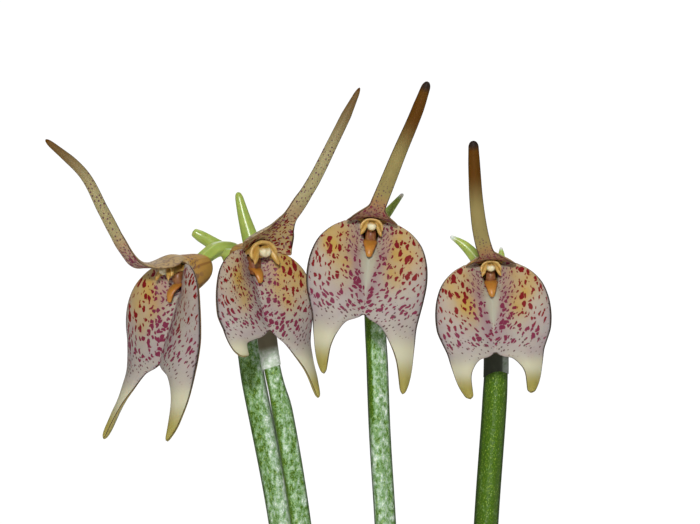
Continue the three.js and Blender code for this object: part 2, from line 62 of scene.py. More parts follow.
# Flowers, each in a frame of its own: X to the viewer's right, -Y to the viewer and Z up, from the mouth.
# hood holds the half widths of the upper sepal up to where its tail starts, and arch says how much it is
# vaulted. dorsal is its route, tail its tail's width and tip the half width at the end. flush is how mauve
# it is near the mouth, and pale how light it is. notch lifts the lower end of the seam, blunt widens the
# lower tips, and column is the column's size. ovary holds the last two points of the ovary's route, and
# ovary_bend says where it bends.
# left and right are the lower tails: reach lengthens one, inward draws its tip to the middle, forward
# brings it to the front, and a blunt of its own goes before the flower's. yellow, large, medium and fine
# say how strong its patch and its sizes of spot are, and clear how free of spots the V down the seam is.
REAR_OVARY = [(0, 6.9, 0.45), (0, 5.2, 0.45)]
FLOWERS = [
    {"mouth": (-25.5, -4, 203.4), "yaw": -50, "pitch": 6, "roll": 0, "scale": 1.07,
     "tip": 0.3, "arch": 0.15, "hood": [(0.05, 2.8), (0.13, 2.9), (0.19, 2.3), (0.25, 1.5), (0.34, 1)],
     "pale": 0.13, "flush": 0.42, "tail": 0.85, "notch": 0, "blunt": 0.05,
     "ovary": [(0, 6.2, 2.3), (0, 3.6, 1.2)], "ovary_bend": 0.15, "column": 1.1,
     "left": {"reach": 0.94, "inward": -0.4, "forward": 1.8, "yellow": 1.1, "large": 1, "medium": 1.1,
              "fine": 0.1, "clear": 0.3},
     "right": {"reach": 0.92, "inward": 0.1, "forward": 1.2, "yellow": 0.2, "large": 0.3, "medium": 1,
               "fine": 0.3, "clear": 0.3},
     "dorsal": [(0, -1.7, 1.7), (0, -3.5, 1.5), (-0.2, -5, 1.9), (-0.6, -6.2, 3.5),
                (-1.5, -8, 8), (-2.95, -9.3, 12.4), (-6.1, -11.9, 16.6)]},
    {"mouth": (-15.5, -9, 205.3), "yaw": 33, "pitch": 0, "roll": 0, "scale": 0.94,
     "tip": 0.25, "arch": 0.42, "hood": [(0.03, 4), (0.08, 4.7), (0.14, 3.6), (0.21, 2.1), (0.28, 1.3)],
     "pale": 0.14, "flush": 0, "tail": 1.02, "notch": 0.9, "blunt": 0.1,
     "ovary": REAR_OVARY, "ovary_bend": 0.5, "column": 1.6,
     "left": {"reach": 0.44, "inward": 0.6, "forward": -0.9, "blunt": 0.8, "yellow": 0.9, "large": 0.3,
              "medium": 0.9, "fine": 0.8, "clear": 0},
     "right": {"reach": 0.9, "inward": -0.2, "forward": 0, "yellow": 1.3, "large": 0.9, "medium": 1,
               "fine": 0.5, "clear": 0},
     "dorsal": [(0.4, -1.4, 2.9), (1, -2.9, 3.9), (1.4, -4.4, 4.9), (2.2, -5.8, 6.3),
                (3.95, -7.2, 9.6), (6.3, -8.8, 15.2), (9.05, -10.4, 21.7)]},
    {"mouth": (-1.67, -9, 208.6), "yaw": 0, "pitch": 0, "roll": 5.5, "scale": 1,
     "hood": [(0.03, 2.9), (0.07, 3.1), (0.12, 3.1), (0.165, 2.7), (0.19, 2), (0.23, 1)],
     "tip": 0.5, "arch": 0.34, "pale": 0, "flush": 0.35, "tail": 1.12, "notch": 0, "blunt": 0.2,
     "ovary": REAR_OVARY, "ovary_bend": 0.5, "column": 1.1,
     "left": {"reach": 0.87, "inward": 1.5, "forward": 0, "yellow": 1, "large": 0.9, "medium": 1,
              "fine": 0.2, "clear": 1},
     "right": {"reach": 1, "inward": 0, "forward": 0, "yellow": 1.15, "large": 0.9, "medium": 1,
               "fine": 0.2, "clear": 1},
     "dorsal": [(0, -1.5, 2.1), (0.1, -2.9, 2.3), (0.45, -4, 3.2), (1.15, -4.9, 5.4),
                (2.4, -6.2, 9.6), (3.8, -7.6, 14), (4.85, -8.8, 18)]},
    {"mouth": (12.67, -9, 203.7), "yaw": 0, "pitch": 0, "roll": -2.4, "scale": 0.96,
     "hood": [(0.03, 3), (0.07, 3.2), (0.12, 3.2), (0.165, 2.8), (0.19, 2.1), (0.23, 1)],
     "tip": 0.6, "arch": 0.34, "pale": 0, "flush": 0.3, "tail": 1.15, "notch": 0, "blunt": 0.5,
     "ovary": REAR_OVARY, "ovary_bend": 0.5, "column": 1.05,
     "left": {"reach": 0.71, "inward": 1.9, "forward": 0, "yellow": 0.95, "large": 0.95, "medium": 1,
              "fine": 0.15, "clear": 1},
     "right": {"reach": 0.67, "inward": 1.3, "forward": 0, "yellow": 0.9, "large": 0.9, "medium": 1,
               "fine": 0.15, "clear": 1},
     "dorsal": [(0, -1.5, 2), (-0.3, -2.9, 2.2), (-0.8, -4, 3), (-1.3, -5, 5),
                (-1.7, -6.3, 8.6), (-1.85, -7.6, 12.4), (-1.9, -8.8, 16.2)]},
]

# One half of the fused lower sepals: paired points down its inner and outer edges
HALF_INNER = [(1.65, 0.5, 1.3), (1.3, 0.3, 0.1), (1.05, 0.2, -1.2), (0.7, 0.2, -2.3),
              (0, 0.1, -2.9), (0, -1.2, -5.6), (0, -2.4, -8), (0, -3.2, -9.85), (2, -3.6, -11),
              (3.4, -4, -12.9), (4.4, -4.6, -14.8), (5, -5.3, -16.9), (5.4, -5.9, -18.7)]
HALF_OUTER = [(3.3, -0.2, 1.1), (4.8, -0.7, 0.25), (6.2, -1.4, -1.2), (7, -2, -3.2),
              (7.25, -2.3, -5.4), (7.05, -2.4, -7.6), (6.75, -2.5, -9.4), (6.5, -2.7, -11),
              (6.45, -3.1, -12.6), (6.4, -3.6, -14.2), (6.35, -4.3, -15.8), (6.15, -5, -17.4),
              (5.75, -5.95, -18.8)]
# Of the 12 spans between those points, 4 run down the mouth's rim and the next 3 down the seam
RIM_SHARE = 4 / 12
SEAM_END_SHARE = 7 / 12
# How far each half bulges to the front
BULGE = 0.85
# The lower tails: the height where they start, their length, and how far out a point is all tail
TAIL_FROM = -7
TAIL_LENGTH = 11.8
TAIL_BESIDE = 5
# Every sepal's end is rounded over this share of its length, down to this share of its width
TIP_SHARE = 0.025
TIP_LEFT = 0.08
# The lower sepals' spots lie along arcs about a point this far beyond the seam
ARC_CENTRE = 5
# Moves the pattern on from one flower to the next
PATTERN_SHIFT = 13.7
# A place in the middle of the right lower sepal
FRONT_SPOT = (4, -2.5, -5)
# Patterns round the mouth are measured at this distance from its middle
MOUTH_RADIUS = 2.2

# The cup behind the mouth: depth, half width, half height and middle height of its rings
CUP = [(0.15, 2.3, 2.25, -0.4), (1.2, 2.05, 2.1, -0.25), (2.6, 1.75, 1.75, 0.1),
       (4, 1.3, 1.25, 0.4), (4.6, 0.75, 0.7, 0.6)]
# The upper sepal: its foot's half width, its tail's half widths by share of its length, its length for the
# pattern, and how much closer its rows lie towards the tip
HOOD_FOOT = (0, 2.1)
TAIL_HALF_WIDTH = [(0.42, 0.82), (0.6, 0.74), (0.85, 0.64)]
DORSAL_LENGTH = 26
ROW_CROWDING = 1.4
# Rows along each sheet and columns across it, and the thickness in millimetres that a full weight gives
SEPAL_ROWS = 60
SEPAL_COLUMNS = 20
DORSAL_ROWS = 84
DORSAL_COLUMNS = 16
CUP_ROWS = 12
THICKEST_MM = 1.9

# Flower stalks: the corner that faces most to the front and the twist, in degrees, how much of its width
# a stalk keeps above its kink, then the route from its foot, which stands in the mix at STALK_FOOT
KINK_SHARE = 0.893
STALK_FOOT = 51.3
STALKS = [
    {"radius": 1.47, "corner": -70, "twist": 20, "narrow": 1,
     "route": [(-4.5, 4, 0), (-4.7, 4, 18), (-6.4, 4, 55), (-9.4, 4, 90), (-12.75, 4, 121),
               (-16.7, 4, 142), (-17.8, 4, 150.5), (-18, 3.8, 153.6)]},
    {"radius": 1.27, "corner": -115, "twist": 20, "narrow": 0.82,
     "route": [(-1, -3.5, 0), (-1.2, -3.4, 18), (-3.4, -2, 55), (-7.2, -0.4, 91),
               (-10.35, 0.4, 121), (-12.75, 0.6, 135.5), (-13.8, 0.6, 140), (-15.2, 0.6, 150),
               (-15.7, 0.6, 153.4)]},
    {"radius": 1.32, "corner": -110, "twist": 12, "narrow": 1,
     "route": [(3.4, 3.4, 0), (3.2, 3.3, 18), (2.4, 2.6, 55), (1.3, 1.6, 91), (0.12, 1, 120),
               (-0.65, 1, 133), (-1.1, 1, 146), (-1.4, 0.8, 153), (-1.5, 0.2, 156)]},
    {"radius": 1.47, "corner": -90, "twist": 10, "narrow": 1,
     "route": [(7, -2.2, 0), (7.3, -2, 18), (9.4, -0.6, 55), (11.4, 0.6, 91), (12.6, 1, 120),
               (13.9, 1, 141), (13.5, 0.6, 149), (13.1, -0.2, 151.5)]},
]
# The bracts beside the ovaries: shade is how much darker a bract is than its ovary, and dry whether its
# tip is papery. The second is the green bud.
BRACTS = [
    {"route": [(-17.9, 3.9, 204.4), (-19.3, 3.4, 206), (-21.6, 3, 207.5), (-23.8, 2.6, 208.8)],
     "radii": [(0, 0.8), (0.5, 0.9), (0.85, 0.75), (1, 0.5)], "shade": 0.1, "dry": 0},
    {"route": [(-15.4, 0.7, 204.2), (-16.35, 0.9, 207.3), (-17.35, 0.9, 210.7), (-18.1, 0.9, 213.7)],
     "radii": [(0, 0.85), (0.3, 1.15), (0.65, 0.8), (0.94, 0.5), (1, 0.25)], "shade": 0.3, "dry": 0},
    {"route": [(-1.5, 0.4, 206.6), (-0.8, 0.7, 209.4), (0.7, 0.7, 211.4), (2.4, 0.7, 213.5)],
     "radii": [(0, 0.8), (0.4, 0.8), (0.75, 0.45), (1, 0.2)], "shade": 0.4, "dry": 1},
    {"route": [(13.2, 0, 202.2), (11.9, 0.6, 204.8), (10, 0.6, 207), (8.2, 0.6, 208.2)],
     "radii": [(0, 0.8), (0.4, 0.9), (0.75, 0.6), (1, 0.2)], "shade": 0.1, "dry": 1},
]
SMALL_BRACT = {"route": [(13.3, 0.4, 202.6), (14, 0.9, 204.4), (14.5, 1, 205.6), (14.5, 1, 206.9)],
               "radii": [(0, 0.7), (0.5, 0.75), (0.8, 0.4), (1, 0.12)], "shade": 0.1, "dry": 1}


def linear(hex_colour):
    """The linear colour of an sRGB hex value such as #c9c0b2."""
    parts = [int(hex_colour[i:i + 2], 16) / 255 for i in (1, 3, 5)]
    return [c / 12.92 if c <= 0.04045 else ((c + 0.055) / 1.055) ** 2.4 for c in parts]


def colour_property(name, description, hex_colour):
    """A colour for the sidebar, from its sRGB hex value."""
    return FloatVectorProperty(name=name, description=description, default=linear(hex_colour),
                               size=3, min=0, max=1, subtype="COLOR")


def smooth(value, low, high):
    """0 up to low, 1 from high on and a smooth step between them."""
    share = min(1, max(0, (value - low) / (high - low)))
    return share * share * (3 - 2 * share)


def mix(start, end, share):
    """From start at a share of 0 to end at a share of 1."""
    return start + (end - start) * share


def between(pairs, place):
    """Straight lines between (place, value) pairs."""
    if place <= pairs[0][0]:
        return pairs[0][1]
    for (low, start), (high, end) in zip(pairs, pairs[1:]):
        if place <= high:
            return mix(start, end, (place - low) / (high - low))
    return pairs[-1][1]


def rounded(along, share):
    """1 up to the last share of a length, then down to 0 at its end like a quarter circle."""
    part = max(0, (along - 1 + share) / share)
    return math.sqrt(max(0, 1 - part ** 2))


def patch(x, z, centre, radii):
    """1 at the centre of a soft oval patch, falling to 0 outside it."""
    return math.exp(-((x - centre[0]) / radii[0]) ** 2 - ((z - centre[1]) / radii[1]) ** 2)


class Route:
    """A smooth line through points, read by its points' numbering or by its length."""

    SAMPLES = 160

    def __init__(self, points):
        self.points = [Vector(point) for point in points]
        self.lengths = [0.0]
        last = self.point(0)
        for k in range(1, self.SAMPLES + 1):
            here = self.point(k / self.SAMPLES)
            self.lengths.append(self.lengths[-1] + (here - last).length)
            last = here

    def point(self, share):
        """A place by the points' numbering."""
        count = len(self.points) - 1
        place = min(1, max(0, share)) * count
        k = min(int(place), count - 1)
        part = place - k
        b, c = self.points[k], self.points[k + 1]
        a = self.points[k - 1] if k > 0 else 2 * b - c
        d = self.points[k + 2] if k + 2 <= count else 2 * c - b
        before, here, after = ((q - p).length ** 0.5 for p, q in ((a, b), (b, c), (c, d)))
        leave = ((b - a) / before - (c - a) / (before + here) + (c - b) / here) * here
        arrive = ((c - b) / here - (d - b) / (here + after) + (d - c) / after) * here
        return (b + leave * part + (3 * (c - b) - 2 * leave - arrive) * part ** 2
                + (2 * (b - c) + leave + arrive) * part ** 3)

    def along(self, share):
        """A place by its share of the length."""
        target = min(1, max(0, share)) * self.lengths[-1]
        k = next((i for i, length in enumerate(self.lengths) if length >= target), self.SAMPLES)
        if k == 0:
            return self.point(0)
        step = self.lengths[k] - self.lengths[k - 1]
        part = (target - self.lengths[k - 1]) / step if step else 0
        return self.point((k - 1 + part) / self.SAMPLES)

    def tangent(self, share):
        """Which way the line goes at a share of its length."""
        step = 0.002
        return (self.along(share + step) - self.along(share - step)).normalized()


def shaped_grid(bm, rows, columns, place):
    """A grid whose corners stand where place(across, along) says: across -1 to 1, along 0 to 1.

    Returns the corners with their across and along, in a dictionary.
    """
    made = bmesh.ops.create_grid(bm, x_segments=columns, y_segments=rows, size=1)
    spots = {}
    for vert in made["verts"]:
        across, along = vert.co.x, (vert.co.y + 1) / 2
        spots[vert] = (across, along)
        vert.co = place(across, along)
    return spots


def tube(bm, route, radius, rows, sides, start=Vector((1, 0, 0)), flat=1):
    """A closed stem: radius(along, angle) is its size, angle 0 is towards start, and flat squeezes
    it along its other way. Returns the corners with their angle and along."""
    def place(across, along):
        inset = 0.5 / rows
        share = min(1, max(0, (along - inset) / (1 - 2 * inset)))
        at = route.along(share)
        if share in (0, 1) and round(along * rows) in (0, rows):
            return at
        ahead = route.tangent(share)
        side = (start - ahead * ahead.dot(start)).normalized()
        other = ahead.cross(side) * flat
        angle = math.pi * across
        return at + radius(share, angle) * (side * math.cos(angle) + other * math.sin(angle))

    spots = shaped_grid(bm, rows, sides, place)
    return {vert: (math.pi * across, along) for vert, (across, along) in spots.items()}


def blank():
    """An empty mesh whose corners can store two shares, together called run."""
    bm = bmesh.new()
    bm.verts.layers.float_color.new("run")
    return bm


def store(bm, spots, values):
    """Stores two shares, values(vert, across, along), on a sheet's corners as their run."""
    layer = bm.verts.layers.float_color["run"]
    for vert, (across, along) in spots.items():
        vert[layer] = (*values(vert, across, along), 0, 1)


def mark_new(bm, known, index):
    """Gives the faces that aren't known yet their material's number, and returns all faces so far."""
    for face in bm.faces:
        if face not in known:
            face.material_index = index
    return set(bm.faces)


def close_up(bm, distance=0.002):
    """Merges corners that meet, and turns all faces outwards."""
    bmesh.ops.remove_doubles(bm, verts=bm.verts, dist=distance)
    bmesh.ops.dissolve_degenerate(bm, dist=1e-5, edges=bm.edges)
    bmesh.ops.recalc_face_normals(bm, faces=bm.faces)


def finished(bm, node, finish, materials, place=Matrix.Identity(4)):
    """Turns a bmesh in millimetres into a piece in metres that stands for a node of the plant."""
    bmesh.ops.transform(bm, matrix=Matrix.Scale(MM, 4) @ place, verts=bm.verts)
    name = f"{node}_{finish}"
    mesh = bpy.data.meshes.new(name)
    bm.to_mesh(mesh)
    bm.free()
    for face in mesh.polygons:
        face.use_smooth = True
    for material in materials:
        mesh.materials.append(material)
    piece = bpy.data.objects.new(name, mesh)
    bpy.context.scene.collection.objects.link(piece)
    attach(piece, "root")
    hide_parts(node)
    return piece


def subdivided(piece):
    """Rounds a piece with one level of subdivision."""
    modifier = piece.modifiers.new("Smooth", "SUBSURF")
    modifier.levels = modifier.render_levels = 1


def thickened(piece, thickness, rim):
    """Gives a sheet its thickness by the weights on its corners, with the second material on its back
    and the one numbered rim on its edge."""
    group = piece.vertex_groups.new(name="thickness")
    shell = piece.modifiers.new("Thickness", "SOLIDIFY")
    shell.thickness = thickness
    shell.offset = 0
    shell.vertex_group = group.name
    shell.material_offset = 1
    shell.material_offset_rim = rim
    subdivided(piece)


def add(tree, kind, inputs=None, out=0, **settings):
    """Adds a shader node: settings are its own, inputs are values or other nodes' outputs, and out is
    the output that it gives back, or None for all of them."""
    node = tree.nodes.new("ShaderNode" + kind)
    for name, value in settings.items():
        setattr(node, name, value)
    for name, value in (inputs or {}).items():
        if isinstance(value, bpy.types.NodeSocket):
            tree.links.new(value, node.inputs[name])
        else:
            node.inputs[name].default_value = value
    return node.outputs if out is None else node.outputs[out]


def new_material(name, roughness, **sockets):
    """A material of one principled shader; returns it, its node tree and its Object coordinates.

    Pattern scales are given as cells to a millimetre, over MM.
    """
    material = bpy.data.materials.new(name)
    material.use_nodes = True
    tree = material.node_tree
    shader = tree.nodes["Principled BSDF"]
    for socket, value in {"Roughness": roughness, "IOR": IOR, **sockets}.items():
        shader.inputs[socket.replace("_", " ")].default_value = value
    return material, tree, add(tree, "TexCoord", out="Object")


def stored(tree, name):
    """The four shares that a mesh stores on its corners under a name."""
    attribute = add(tree, "Attribute", out=None, attribute_name=name)
    shares = add(tree, "SeparateColor", {"Color": attribute["Color"]}, out=None)
    return *shares, attribute["Alpha"]


def layered(tree, ground, layers, interpolation="LINEAR"):
    """Lays colours over a ground. A layer is a share and its colour, or a share, the values of it that
    count as none and as all, how strong the layer gets there, and its colour."""
    def opaque(colour):
        return colour if isinstance(colour, bpy.types.NodeSocket) else (*colour, 1)

    for share, *ends, colour in layers:
        if ends:
            low, high, strength = ends
            share = add(tree, "MapRange", {"Value": share, "From Min": low, "From Max": high,
                                           "To Max": strength}, interpolation_type=interpolation)
        ground = add(tree, "Mix", {"Factor": share, 6: opaque(ground), 7: opaque(colour)}, out=2,
                     data_type="RGBA")
    return ground


def coloured(material, colour, height=None, strength=0, depth=0):
    """Gives a material its colour and, from height, a fine relief that is depth millimetres deep."""
    tree = material.node_tree
    shader = tree.nodes["Principled BSDF"]
    tree.links.new(colour, shader.inputs["Base Color"])
    if height:
        bump = add(tree, "Bump", {"Height": height, "Strength": strength, "Distance": depth * MM})
        tree.links.new(bump, shader.inputs["Normal"])
    return material


# Flower forms


def flower_matrix(flower):
    """From a flower's own frame to the plant's."""
    turn = (Matrix.Rotation(math.radians(flower["yaw"]), 4, "Z")
            @ Matrix.Rotation(math.radians(flower["pitch"]), 4, "X")
            @ Matrix.Rotation(math.radians(flower["roll"]), 4, "Y"))
    return Matrix.Translation(flower["mouth"]) @ turn @ Matrix.Scale(flower["scale"], 4)


def lateral_form(sign, tail, notch, blunt):
    """place(across, along) over one half of the fused lower sepals."""
    inner, outer = Route(HALF_INNER), Route(HALF_OUTER)

    def place(across, along):
        edge = inner.point(along)
        edge.x = max(edge.x, 0)
        if RIM_SHARE <= along <= SEAM_END_SHARE:
            edge.x = 0
        edge.x -= blunt * smooth(along, 0.7, 1)
        tip = mix(TIP_LEFT, 1, rounded(along, TIP_SHARE))
        at = edge.lerp(outer.point(along), (across * tip + 1) / 2)
        at.y -= BULGE * math.sin(math.pi * min(1, along / 0.8)) * (1 - across ** 2)
        beside = smooth(at.x, 0, TAIL_BESIDE)
        down = max(0, TAIL_FROM - at.z)
        pull = (down / TAIL_LENGTH) ** 1.2 * beside
        at.z -= down * (tail["reach"] - 1) * beside
        at.z += notch * smooth(down, 0.5, 2.5) * math.exp(-(at.x / 1.7) ** 2)
        at.x = sign * (at.x - tail["inward"] * pull)
        at.y -= tail["forward"] * pull
        return at
    return place


def crowded(along):
    """Moves evenly spaced rows closer together towards the tip."""
    return 1 - (1 - along) ** ROW_CROWDING


def dorsal_form(flower):
    """place(across, along) over the hooded upper sepal and its tail, and its half width."""
    route = Route([(0, 0.7, 1.9), (0, -0.3, 2.1), *flower["dorsal"]])
    tail = [(share, width * flower["tail"]) for share, width in TAIL_HALF_WIDTH]
    widths = [HOOD_FOOT, *flower["hood"], *tail, (1, flower["tip"])]
    corner = Vector(HALF_INNER[0])

    def half_width(along):
        return between(widths, along) * mix(TIP_LEFT, 1, rounded(along, 1.6 * TIP_SHARE))

    def place(across, along):
        along = crowded(along)
        width = half_width(along)
        ahead = route.tangent(along)
        turn = math.radians(-flower["yaw"]) * smooth(along, 0.28, 0.5)
        side = Vector((math.cos(turn), math.sin(turn), 0))
        side = (side - ahead * ahead.dot(side)).normalized()
        under = side.cross(ahead)
        arch = flower["arch"] * width * across ** 2 * (1 - smooth(along, 0.2, 0.4))
        at = route.along(along) + side * across * width + under * arch
        if along < 0.1:
            end = route.along(0) + side * width * math.copysign(1, across) + under * arch
            meet = Vector((math.copysign(corner.x, across), corner.y, corner.z))
            at += (meet - end) * across ** 2 * (1 - smooth(along, 0, 0.1))
        return at
    return place, half_width


def cup_ring(depth, angle):
    """A point of the cup's wall."""
    width, height, middle = (between([(ring[0], ring[k]) for ring in CUP], depth) for k in (1, 2, 3))
    return Vector((width * math.cos(angle), depth, middle + height * math.sin(angle)))


def cup_form(rim):
    """place(across, along) from the mouth's rim, a loop of points, back to the closed rear."""
    def place(across, along):
        start = rim[round((across + 1) / 2 * (len(rim) - 1))]
        angle = math.atan2(start.z + 0.4, start.x)
        depth = mix(CUP[0][0], CUP[-1][0], min(1, along / 0.9))
        if along > 0.999:
            return Vector((0, CUP[-1][0] + 0.15, CUP[-1][3]))
        ring = cup_ring(depth, angle)
        if along > 0.9:
            ring = ring.lerp(Vector((0, CUP[-1][0] + 0.1, CUP[-1][3])), 0.5)
        offset = start - cup_ring(CUP[0][0], angle)
        return ring + offset * (1 - smooth(along, 0, 0.45))
    return place


def lateral_tones(side, x, z, across, along):
    """Shares of a lower half's colours, and how far large, medium and fine spots cover it."""
    x = abs(x)
    depth = -z if z > TAIL_FROM else -TAIL_FROM + (TAIL_FROM - z) / max(0.62, side["reach"])
    wobble = noise.noise(Vector((x * 0.55, z * 0.4, 3.1 + side["inward"])))
    tail = smooth(depth, 10, 18.5)
    # Two ovals of yellow, beside the mouth and below it
    yellow = patch(x, z, (4.1, -1.3), (2.5, 3)) + 0.6 * patch(x, z, (3.1, -4.8), (1.4, 2))
    yellow = min(0.95, max(0, side["yellow"] * yellow * (1 + 0.6 * wobble)))
    # Mauve beside the lip and down the flanks of the clear V, whose half width is vee
    lip_side = patch(x, z, (1.9, -1.3), (0.9, 1.9)) * smooth(x, 0.3, 1.1)
    vee = mix(1.5, 0, min(1, max(0, (-z - 2) / 6)))
    flank = math.exp(-((x - vee - 0.5) / 0.6) ** 2) * smooth(-z, 1.5, 3) * (1 - smooth(-z, 7.5, 9))
    mauve = min(0.55, 0.4 * lip_side + 0.5 * side["clear"] * flank)
    clear = side["clear"] * (1 - smooth(x, vee - 0.25, vee + 0.15)) * smooth(z, -8, -6.5)
    # Large spots beside the mouth, medium ones down to the tails and fine ones at the margin and below
    margin = smooth(across, 0.7, 0.98)
    # edge rises towards the free edges and the tip; the grey it lays there is partly the tissue's own and
    # partly painted shade, and the dark outline it draws is painted shade
    edge = max(across, -across * (along > RIM_SHARE + 0.25), smooth(along, 0.985, 1))
    large = side["large"] * smooth(x, 2.6, 3.4) * (1 - smooth(-z, 4.6, 7)) * (1 - margin)
    medium = side["medium"] * (1 - clear) * (1 - smooth(depth, 9.2, 11.2)) * (1 - 0.6 * margin)
    medium *= (1 - 0.5 * large) * (1 - 0.6 * lip_side) * (1 + 0.4 * flank)
    fine = max(margin * 0.8, side["fine"], smooth(depth, 7.5, 9.5)) * (1 - clear)
    fine *= 1 - smooth(depth, 10.5, 13.2)
    magenta = max(1 - smooth(x, 1.9, 3.6), smooth(depth, 5, 8))
    return {"tones": (yellow, mauve, tail, 0), "marks": (large, medium, fine, magenta),
            "hood": 0, "edge": max(0, edge), "dashes": min(1, 1.5 * lip_side), "clear": clear}


def dorsal_tones(across, along, flower):
    """The same for the upper sepal, whose tail turns pale or ripens to brown."""
    waist, pale, flush = flower["hood"][-1][0] - 0.04, flower["pale"], flower["flush"]
    near = 1 - smooth(along, waist - 0.02, waist + 0.12)
    mouth = 1 - smooth(along, 0.02, 0.12)
    end = 0.85 if pale else 0.5
    fine = smooth(along, 0.1, waist) * (1 - smooth(along, end - 0.2, end))
    ripe = max(smooth(along, waist, 1) * (1 - 2 * pale), smooth(along, 0.94, 1))
    gold = max(0.6 * mouth, 0.75 * (flush == 0) * near)
    # edge rises towards the sides here too, for the grey, partly painted shade, and the dark outline of
    # painted shade
    return {"tones": (gold, flush * near * (1 - mouth), pale, ripe),
            "marks": (0.4 * near, 0.95 * near, fine, min(1, 2 * flush) * (0.5 + 0.5 * near)),
            "hood": 1 - 0.45 * (flush == 0) * near,
            "edge": abs(across) * smooth(along, 0.02, 0.15), "dashes": 0.7 * near * (1 - mouth), "clear": 0}


def cup_tones(z, along):
    """The same for the cup: golden above and, as painted light, in its depth, where a colour lighter than
    the cup's own offsets the shade inside it; with dashes near the mouth.
    """
    deep = smooth(along, 0.2, 0.6)
    # Golden in the depth is painted light, lighter than the cup's own colour, offsetting the shade inside
    # the cup
    gold = max(smooth(z, 0.2, 1.3), deep)
    return {"tones": (0.95 * gold, 0.15 * (1 - gold), 0, 0),
            "marks": (0, 0, 0.3 * (1 - deep), 0.9), "hood": max(gold, smooth(along, 0, 0.3)), "edge": 0,
            "dashes": 0.9 * (1 - deep), "clear": 0}


# What a sepal's corners store for its material: shares, and maps of the pattern along the veins and round
# the mouth
SHARES = {"float_color": ("tones", "marks"), "float": ("hood", "edge", "dashes", "clear")}
PATTERN_MAPS = ("veins", "rings")


def paint(bm, spots, tones, veins, thickness):
    """Stores a sheet's colour shares, its patterns' places and its thickness on its corners."""
    layers = {name: getattr(bm.verts.layers, kind)[name] for kind, names in SHARES.items() for name in names}
    weight = bm.verts.layers.deform[0]
    vein_map, ring_map = (bm.loops.layers.uv[name] for name in PATTERN_MAPS)
    for vert, (across, along) in spots.items():
        shares = tones(vert.co, across, along)
        for name, layer in layers.items():
            vert[layer] = shares[name]
        vert[weight][0] = thickness(across, along) / THICKEST_MM
    faces = {face for vert in spots for face in vert.link_faces}
    for face in faces:
        for loop in face.loops:
            co = loop.vert.co
            loop[vein_map].uv = veins(co, *spots[loop.vert])
            loop[ring_map].uv = (math.hypot(co.x, co.z), MOUTH_RADIUS * math.atan2(-co.z, abs(co.x) + 0.01))


def lower_half(bm, sign, flower, shift, blade, tail_thickness):
    """One half of the fused lower sepals and its tail, on the side of sign; returns its form."""
    tail = flower["right" if sign > 0 else "left"]
    form = lateral_form(sign, tail, flower["notch"], tail.get("blunt", flower["blunt"]))

    def veins(co, across, along):
        out = Vector((abs(co.x) + ARC_CENTRE, co.z + 1))
        return out.length + shift, 9 * math.atan2(out.y, out.x) + 40 * sign

    def thickness(across, along):
        middle = mix(blade, tail_thickness, smooth(along, 0.65, 0.9)) * (1 - 0.75 * across ** 2)
        return middle * mix(0.3, 1, rounded(along, 3 * TIP_SHARE))

    paint(bm, shaped_grid(bm, SEPAL_ROWS, SEPAL_COLUMNS, form),
          lambda co, across, along: lateral_tones(tail, co.x, co.z, across, along), veins, thickness)
    return form


def upper_sepal(bm, flower, shift, blade):
    """The hood over the mouth and its tail, which grows round and thick; returns its form."""
    form, half_width = dorsal_form(flower)

    def veins(co, across, along):
        return across * half_width(along) + shift, DORSAL_LENGTH * along + 90

    def thickness(across, along):
        middle = mix(blade / 2, 0.65 * half_width(along), smooth(along, 0.3, 0.5))
        return 2 * middle * (1 - 0.8 * across ** 2)

    spots = shaped_grid(bm, DORSAL_ROWS, DORSAL_COLUMNS, form)
    spots = {vert: (across, crowded(along)) for vert, (across, along) in spots.items()}
    paint(bm, spots, lambda co, across, along: dorsal_tones(across, along, flower), veins, thickness)
    return form


def cup(bm, halves, hood, shift, blade):
    """The cup behind the mouth; its rim runs down one lower half, up the other and round the hood."""
    share = [k / SEPAL_ROWS for k in range(round(SEPAL_ROWS * RIM_SHARE) + 1)]
    rim = [halves[1](-1, t) for t in share]
    rim += [halves[-1](-1, t) for t in reversed(share[:-1])]
    rim += [hood(2 * k / DORSAL_COLUMNS - 1, 0) for k in range(1, DORSAL_COLUMNS + 1)]
    spots = shaped_grid(bm, CUP_ROWS, len(rim) - 1, cup_form(rim))
    paint(bm, spots, lambda co, across, along: cup_tones(co.z, along),
          lambda co, across, along: (MOUTH_RADIUS * math.pi * across + shift, 5 * along + 140),
          lambda across, along: blade)


def perianth(number, flower, settings, materials):
    """The cup, the two fused lower sepals and the hooded upper one as one thick sheet."""
    bm = bmesh.new()
    for kind, names in SHARES.items():
        for name in names:
            getattr(bm.verts.layers, kind).new(name)
    bm.verts.layers.deform.verify()
    for name in PATTERN_MAPS:
        bm.loops.layers.uv.new(name)
    shift = PATTERN_SHIFT * number
    blade, tail_thickness = settings.thickness / MM, settings.tail_thickness / MM
    halves = {sign: lower_half(bm, sign, flower, shift, blade, tail_thickness) for sign in (1, -1)}
    hood = upper_sepal(bm, flower, shift, blade)
    cup(bm, halves, hood, shift, blade)

    bmesh.ops.remove_doubles(bm, verts=bm.verts, dist=0.02)
    bmesh.ops.recalc_face_normals(bm, faces=bm.faces)
    # The inside of the right half looks to the viewer
    front = min(bm.faces, key=lambda face: (face.calc_center_median() - Vector(FRONT_SPOT)).length)
    if front.normal.y > 0:
        bmesh.ops.reverse_faces(bm, faces=bm.faces)
    piece = finished(bm, f"flower_{number}_sepals", "spotted", materials, flower_matrix(flower))
    thickened(piece, THICKEST_MM * MM * flower["scale"], rim=2)


